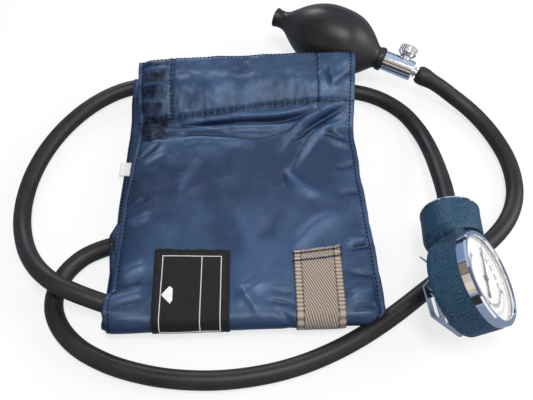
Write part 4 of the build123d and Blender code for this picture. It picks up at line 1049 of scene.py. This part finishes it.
def cuff_stitches():
    """Seams of the top leaf, with the hook tape's outline, and the edges of the top and middle leaves."""
    seam_x = np.linspace(-64.5, 63.2, 160)
    lines = [on_cuff(seam_x, run_at(seam_y(seam_x)), 0.1)]
    for line_x, lean in zip(SIDE_SEAMS, (-1.2, 0.6)):
        rows = np.linspace(0.8, float(run_at(seam_y(line_x))) + 3.0, 60)
        lines.append(on_cuff(line_x + lean * (1 - rows / 40), rows, 0.1))
    rows = np.linspace(1.0, strip.mid_run, 260)
    for edge, inward in ((strip.left, 2.6), (strip.right, -2.6)):
        lines.append(on_cuff(strip.at(edge, rows) + inward, rows, 0.1))
    side_rows = np.linspace(strip.mid_run, strip.back_run - 12, 120)
    for edge, inward in ((strip.left, 1.1), (strip.left, 2.7), (strip.right, -2.4)):
        lines.append(on_cuff(strip.at(edge, side_rows) + inward, side_rows, 0.1, -1))
        lines.append(on_cuff(strip.at(edge, side_rows) + inward, side_rows, 0.1))
    back_x = np.linspace(-64.0, 62.0, 120)
    lines.append(on_cuff(back_x, 0 * back_x + 1.6, 0.08))
    return lines


sewn("cuff_seams", cuff_stitches(), DARK_THREAD, pitch=2.4, length=1.8, thickness=0.72)


def label_line(*corners):
    """Line on the label through (x, y) corners. Places past the fold keep on round it."""
    places = []
    for (x0, y0), (x1, y1) in zip(corners, corners[1:]):
        count = max(2, int(np.hypot(x1 - x0, y1 - y0) / 0.8))
        share = np.linspace(0, 1, count, endpoint=False)
        places += [(x0 + (x1 - x0) * t, y0 + (y1 - y0) * t) for t in share]
    places.append(corners[-1])
    x, y = np.array(places).T
    over = np.maximum(CUFF_FRONT_FOLD - y, 0)
    run = np.where(y < CUFF_FRONT_FOLD, FRONT + over, run_at(np.maximum(y, CUFF_FRONT_FOLD)))
    return on_cuff(x, run, LABEL_OFFSET + 0.04)


frame_lines = [
    label_line((-42.0, -49.6), (-11.8, -50.0), (-11.2, -85.6), (-41.2, -85.8), (-42.0, -49.6)),
    label_line((-21.8, -50.6), (-21.2, -85.4)),
]
border_lines = [
    label_line((-45.3, -46.9), (-8.4, -47.2), (-7.9, -88.0)),
    label_line((-45.3, -46.9), (-43.8, -88.0)),
]
label_frame = sewn("label_frame", frame_lines, WHITE_THREAD, pitch=0.62, length=0.8, thickness=0.55)
label_border = sewn("label_border", border_lines, BLACK_THREAD, pitch=1.6, length=1.35, thickness=0.45)


def arrow_mark():
    """White woven arrow on the label that shows where the hoses lie over the artery."""
    corners = np.array([(-41.2, -69.6), (-37.3, -65.4), (-35.6, -66.6), (-35.3, -72.4), (-36.4, -74.2)])
    centre = corners.mean(0)
    rings = 8
    flat = np.concatenate([centre + (corners - centre) * ring / rings for ring in range(rings + 1)])
    places = on_cuff(flat[:, 0], run_at(flat[:, 1]), LABEL_OFFSET + 0.12)
    faces = grid_faces(rings + 1, len(corners), closed=True)
    mark = piece_from("label_arrow", places, faces, WHITE_CLOTH, flat * MM)
    thicken(mark, 0.14)
    dressed(mark)
    return mark


arrow = arrow_mark()
length_on_cuff(-26.0, LABEL_START[0], LABEL_END, LABEL_OFFSET)


def strap_line(y_left, y_right):
    """Row of stitches across the strap."""
    share = np.linspace(0, 1, 40)
    x = 25.5 + share * (STRAP_WIDTH - 0.4) + 0.2
    return on_cuff(x, run_at(y_left + (y_right - y_left) * share), 1.45)


sewn("strap_seams", [strap_line(-49.0, -45.2), strap_line(-53.2, -49.6)], NAVY_THREAD, pitch=1.5,
     length=1.48, thickness=1.0)


# Bulb


def axes_about(direction, up=Vector((0, 0, 1))):
    """Right and up directions square to a direction."""
    upward = (up - direction * up.dot(direction)).normalized()
    return upward.cross(direction), upward


def rubber_bulb():
    """Bulb with its tail's mouth, round body and stepped collar, turned about its own line."""
    direction = BULB_AIM.normalized()
    matrix = turn_matrix(*axes_about(direction), direction, BULB_TAIL)
    tail = rounded([(14.0, 3.8), (0.0, 3.8), (0.0, 6.1), (1.2, 6.12)], 0.8, 5)
    body = [tuple(p) for p in smooth_line(BULB_OUTLINE, 90)]
    collar = rounded([body[-1], (71.6, 6.75), (72.6, 6.8), (73.0, 7.35), (75.3, 7.35), (76.0, 6.9),
                      (76.0, 4.4)], 0.45, 5)
    outline = tail + body[2:] + collar[1:] + [(71.0, 4.35)]
    dressed(lathe("rubber_bulb", outline, matrix, BULB_RUBBER, segments=128), "bulb")


rubber_bulb()


# Gauge


gauge_axis = bearing(DIAL_AZIMUTH, DIAL_ELEVATION)
stem_dir = Quaternion(gauge_axis, radians(STEM_ROLL)) @ bearing(DIAL_AZIMUTH + 90, 0)
dial_matrix = turn_matrix(stem_dir.cross(gauge_axis), stem_dir, gauge_axis,
                          GAUGE_CENTRE - gauge_axis * DIAL_FRONT)


def tick_tree():
    """Printed ticks on an arc: one each step of an angle."""
    tree, new, sizes = node_group("scale_ticks", Count=31, Step=radians(10), Radius=19 * MM,
                                  Length=1.0 * MM, Width=0.2 * MM)
    line = wired(new("GeometryNodeMeshLine"), {"Count": sizes["Count"], "Offset": (0, 0, 0)})
    turn, clockwise = new("ShaderNodeMath"), new("ShaderNodeMath")
    turn.operation = clockwise.operation = "MULTIPLY"
    wired(turn, {0: new("GeometryNodeInputIndex"), 1: sizes["Step"]})
    wired(clockwise, {0: turn, 1: -1})
    spin = wired(new("ShaderNodeCombineXYZ"), {"Z": clockwise})
    size = wired(new("ShaderNodeCombineXYZ"),
                 {"X": sizes["Width"], "Y": sizes["Length"], "Z": PRINT_HEIGHT * MM})
    tick = wired(new("GeometryNodeMeshCube"), {"Size": size})
    spot = wired(new("ShaderNodeCombineXYZ"), {"Y": sizes["Radius"]})
    moved = wired(new("GeometryNodeTransform"), {"Geometry": tick, "Translation": spot})
    lay = wired(new("GeometryNodeInstanceOnPoints"), {"Points": line, "Instance": moved, "Rotation": spin})
    end_with(new, lay, sizes, False)
    return tree


TICKS = tick_tree()


def on_dial(piece):
    """Moves a mesh drawn in metres round the dial's centre to its place on the set body."""
    metres = Matrix.Translation(dial_matrix.translation * MM) @ dial_matrix.to_3x3().to_4x4()
    piece.data.transform(metres)
    dressed(piece)


def scale_ticks(name, count, step, radius, length, width):
    """Ring of ticks on the dial, from the stem's side and clockwise."""
    on_dial(made_by(TICKS, name, [(0, 0, 0)], [], DIAL_INK, Count=count, Step=radians(step),
                    Radius=radius * MM, Length=length * MM, Width=width * MM))


scale_ticks("scale_fine_ticks", 151, 2, radius=17.2, length=0.9, width=0.11)
scale_ticks("scale_main_ticks", 31, 10, radius=16.9, length=1.5, width=0.22)


def dial_numbers():
    """Plain numbers from 0 to 300 round the dial, one piece."""
    points, faces = [], []
    for value in range(0, 301, 20):
        text = bpy.data.curves.new("number", "FONT")
        text.body = str(value)
        text.size = NUMBER_SIZE * MM
        text.offset = 0.06 * MM
        text.align_x, text.align_y = "CENTER", "CENTER"
        text.extrude = PRINT_HEIGHT * MM
        writer = bpy.data.objects.new("number", text)
        scene.collection.objects.link(writer)
        mesh = evaluated(writer)
        bpy.data.objects.remove(writer)
        turn = radians(value)
        place = Matrix.Translation((NUMBER_RING * MM * sin(turn), NUMBER_RING * MM * cos(turn), 0))
        mesh.transform(place @ Matrix.Rotation(-turn, 4, "Z"))
        first = len(points)
        points += [tuple(v.co / MM) for v in mesh.vertices]
        faces += [[first + i for i in polygon.vertices] for polygon in mesh.polygons]
    on_dial(piece_from("dial_numbers", points, faces, DIAL_INK, smooth=False))


dial_numbers()

# CAD nodes that keep their shape get their finishes
KEPT_SOLIDS = {
    ENAMEL: "gauge_case",
    CHROME: "bezel end_cap gauge_port inlet_valve inlet_retainer valve_body hose_barb",
    NICKEL: "clip_screws release_knob",
    STEEL: "dial_screws movement_screws pointer_arbor push_pin inlet_ball outlet_ball release_spindle",
    BRASS: "movement_top_plate movement_bottom_plate movement_pillars sector_gear outlet_seat",
    CLIP_STEEL: "gauge_clip",
    CAPSULE: "hairspring pressure_capsule",
    GLASS: "crystal",
    DIAL_WHITE: "dial_plate",
    POINTER_BLACK: "pointer",
    SEAL_WHITE: "crystal_gasket",
    SEAL_BLACK: "spindle_seal",
}
for finish, nodes in KEPT_SOLIDS.items():
    for node in nodes.split():
        cad[node].data.materials.clear()
        cad[node].data.materials.append(finish)


# Floor, light and camera


def seen_by(nodes, *rays):
    """Socket or node that gives 1 where a ray is of any of the named kinds."""
    path = nodes.new("ShaderNodeLightPath")
    found = path.outputs[rays[0]]
    for ray in rays[1:]:
        either = nodes.new("ShaderNodeMath")
        either.operation = "MAXIMUM"
        found = wired(either, {0: found, 1: path.outputs[ray]})
    return found


def square(width, height):
    """Corners of a rectangle about the origin."""
    return [(x * width / 2, y * height / 2) for x, y in ((-1, -1), (1, -1), (1, 1), (-1, 1))]


def floor_and_world():
    """Pale floor that shows as white and keeps the object's shadow, under even light."""
    material = bpy.data.materials.new("floor")
    nodes = nodes_of(material)
    diffuse = wired(nodes["Principled BSDF"], {"Base Color": (0.93, 0.93, 0.93, 1), "Roughness": 0.9})
    share = nodes.new("ShaderNodeMath")
    share.operation = "MULTIPLY"
    wired(share, {0: seen_by(nodes, "Is Camera Ray", "Is Glossy Ray"), 1: 0.76})
    glow = nodes.new("ShaderNodeEmission")
    mix = wired(nodes.new("ShaderNodeMixShader"), {0: share, 1: diffuse, 2: glow})
    wired(nodes["Material Output"], {0: mix})
    corners = [(x, y, -0.3) for x, y in square(6000, 6000)]
    piece_from("floor", corners, [[0, 1, 2, 3]], material, smooth=False)
    world = bpy.data.worlds.new("studio")
    nodes = nodes_of(world)
    ambient = wired(nodes["Background"], {0: (0.86, 0.9, 1.0, 1), 1: 0.3})
    white = wired(nodes.new("ShaderNodeBackground"), {0: (1, 1, 1, 1)})
    rays = seen_by(nodes, "Is Camera Ray", "Is Glossy Ray", "Is Transmission Ray")
    mix = wired(nodes.new("ShaderNodeMixShader"), {0: rays, 1: ambient, 2: white})
    wired(nodes["World Output"], {0: mix})
    scene.world = world


def area_lamp(name, place, aim, size, watts, colour):
    """Soft rectangular lamp, placed in millimetres."""
    light = bpy.data.lights.new(name, "AREA")
    light.shape, light.size, light.energy, light.color = "SQUARE", size * MM, watts, colour
    lamp = bpy.data.objects.new(name, light)
    lamp.location = Vector(place) * MM
    lamp.rotation_euler = (Vector(aim) - Vector(place)).to_track_quat("-Z", "Y").to_euler()
    scene.collection.objects.link(lamp)


def card(name, place, aim, width, height, colour, upward=Vector((0, 0, 1))):
    """Coloured card that only polished metal sees."""
    forward = (Vector(aim) - Vector(place)).normalized()
    right, up = axes_about(forward, upward)
    corners = [tuple(Vector(place) + right * a + up * b) for a, b in square(width, height)]
    material = bpy.data.materials.new(name)
    nodes = nodes_of(material)
    glow = wired(nodes.new("ShaderNodeEmission"), {0: (*colour, 1)})
    wired(nodes["Material Output"], {0: glow})
    panel = piece_from(name, corners, [[0, 1, 2, 3]], material, smooth=False)
    panel.visible_camera = panel.visible_diffuse = panel.visible_shadow = panel.visible_transmission = False


floor_and_world()
area_lamp("key", (100, -160, 850), (20, 0, 0), size=280, watts=4.4, colour=(1.0, 0.99, 0.97))
area_lamp("back_key", (-200, 820, 430), (0, 0, 0), size=260, watts=2.6, colour=(0.97, 0.98, 1.0))
area_lamp("side_fill", (700, 60, 480), (110, -60, 30), size=400, watts=3.2, colour=(1.0, 0.98, 0.96))
GAUGE_SPOT = (117, -71, 30)
VALVE_SPOT = (95, 84, 22)


def card_at(spot, name, azimuth, elevation, width, height, colour, distance=650):
    """Card at a bearing from a spot, facing it."""
    place = tuple(Vector(spot) + distance * bearing(azimuth, elevation))
    card(name, place, spot, width, height, colour)


card("table_card", (250, -100, -0.15), (250, -100, 100), 1900, 1500, (0.25, 0.31, 0.43),
     Vector((0, 1, 0)))
card_at(GAUGE_SPOT, "haze_card", -170, 30, 4400, 1700, (0.27, 0.34, 0.47), 1500)
card_at(GAUGE_SPOT, "sky_card", 62, 62, 2600, 2000, (0.1, 0.135, 0.21), 1000)
card_at(GAUGE_SPOT, "back_card", 78, 13, 1300, 280, (0.05, 0.055, 0.07), 800)
card_at(GAUGE_SPOT, "left_card", 132, 6, 330, 300, (0.2, 0.3, 0.46))
card_at(GAUGE_SPOT, "beige_card", 169, 24, 300, 360, (0.29, 0.235, 0.19))
card_at(GAUGE_SPOT, "cream_card", -156, 21, 500, 360, (0.68, 0.58, 0.48))
card_at(GAUGE_SPOT, "cream_middle_card", -150, 21, 160, 360, (0.86, 0.76, 0.65), 640)
card_at(GAUGE_SPOT, "dark_card", -121, 8, 190, 220, (0.03, 0.03, 0.035))
card_at(GAUGE_SPOT, "umber_card", -84, 16, 420, 260, (0.09, 0.07, 0.055))
card_at(GAUGE_SPOT, "line_card", -177, 22, 16, 360, (0.02, 0.02, 0.02), 600)
card_at(GAUGE_SPOT, "upper_line_card", 156, 22, 18, 360, (0.02, 0.02, 0.02), 600)
card_at(VALVE_SPOT, "valve_top_card", -115, 77, 330, 120, (0.07, 0.055, 0.04), 700)
card_at(VALVE_SPOT, "valve_high_card", -115, 60, 330, 320, (0.49, 0.46, 0.43), 700)
card_at(VALVE_SPOT, "valve_shade_card", -115, 40, 330, 170, (0.13, 0.115, 0.1), 700)
card_at(VALVE_SPOT, "valve_cream_card", -115, 24, 330, 210, (0.6, 0.5, 0.42), 700)
card_at(VALVE_SPOT, "valve_sky_card", 63, 60, 260, 320, (0.47, 0.58, 0.8), 220)

camera = bpy.data.cameras.new("camera")
camera.sensor_width = 36.0
camera.lens = CAMERA_LENS
eye = bpy.data.objects.new("camera", camera)
eye.location = Vector(CAMERA_PLACE) * MM
eye.rotation_euler = (radians(CAMERA_TILT), 0, 0)
scene.collection.objects.link(eye)
scene.camera = eye
scene.view_settings.view_transform = "Standard"
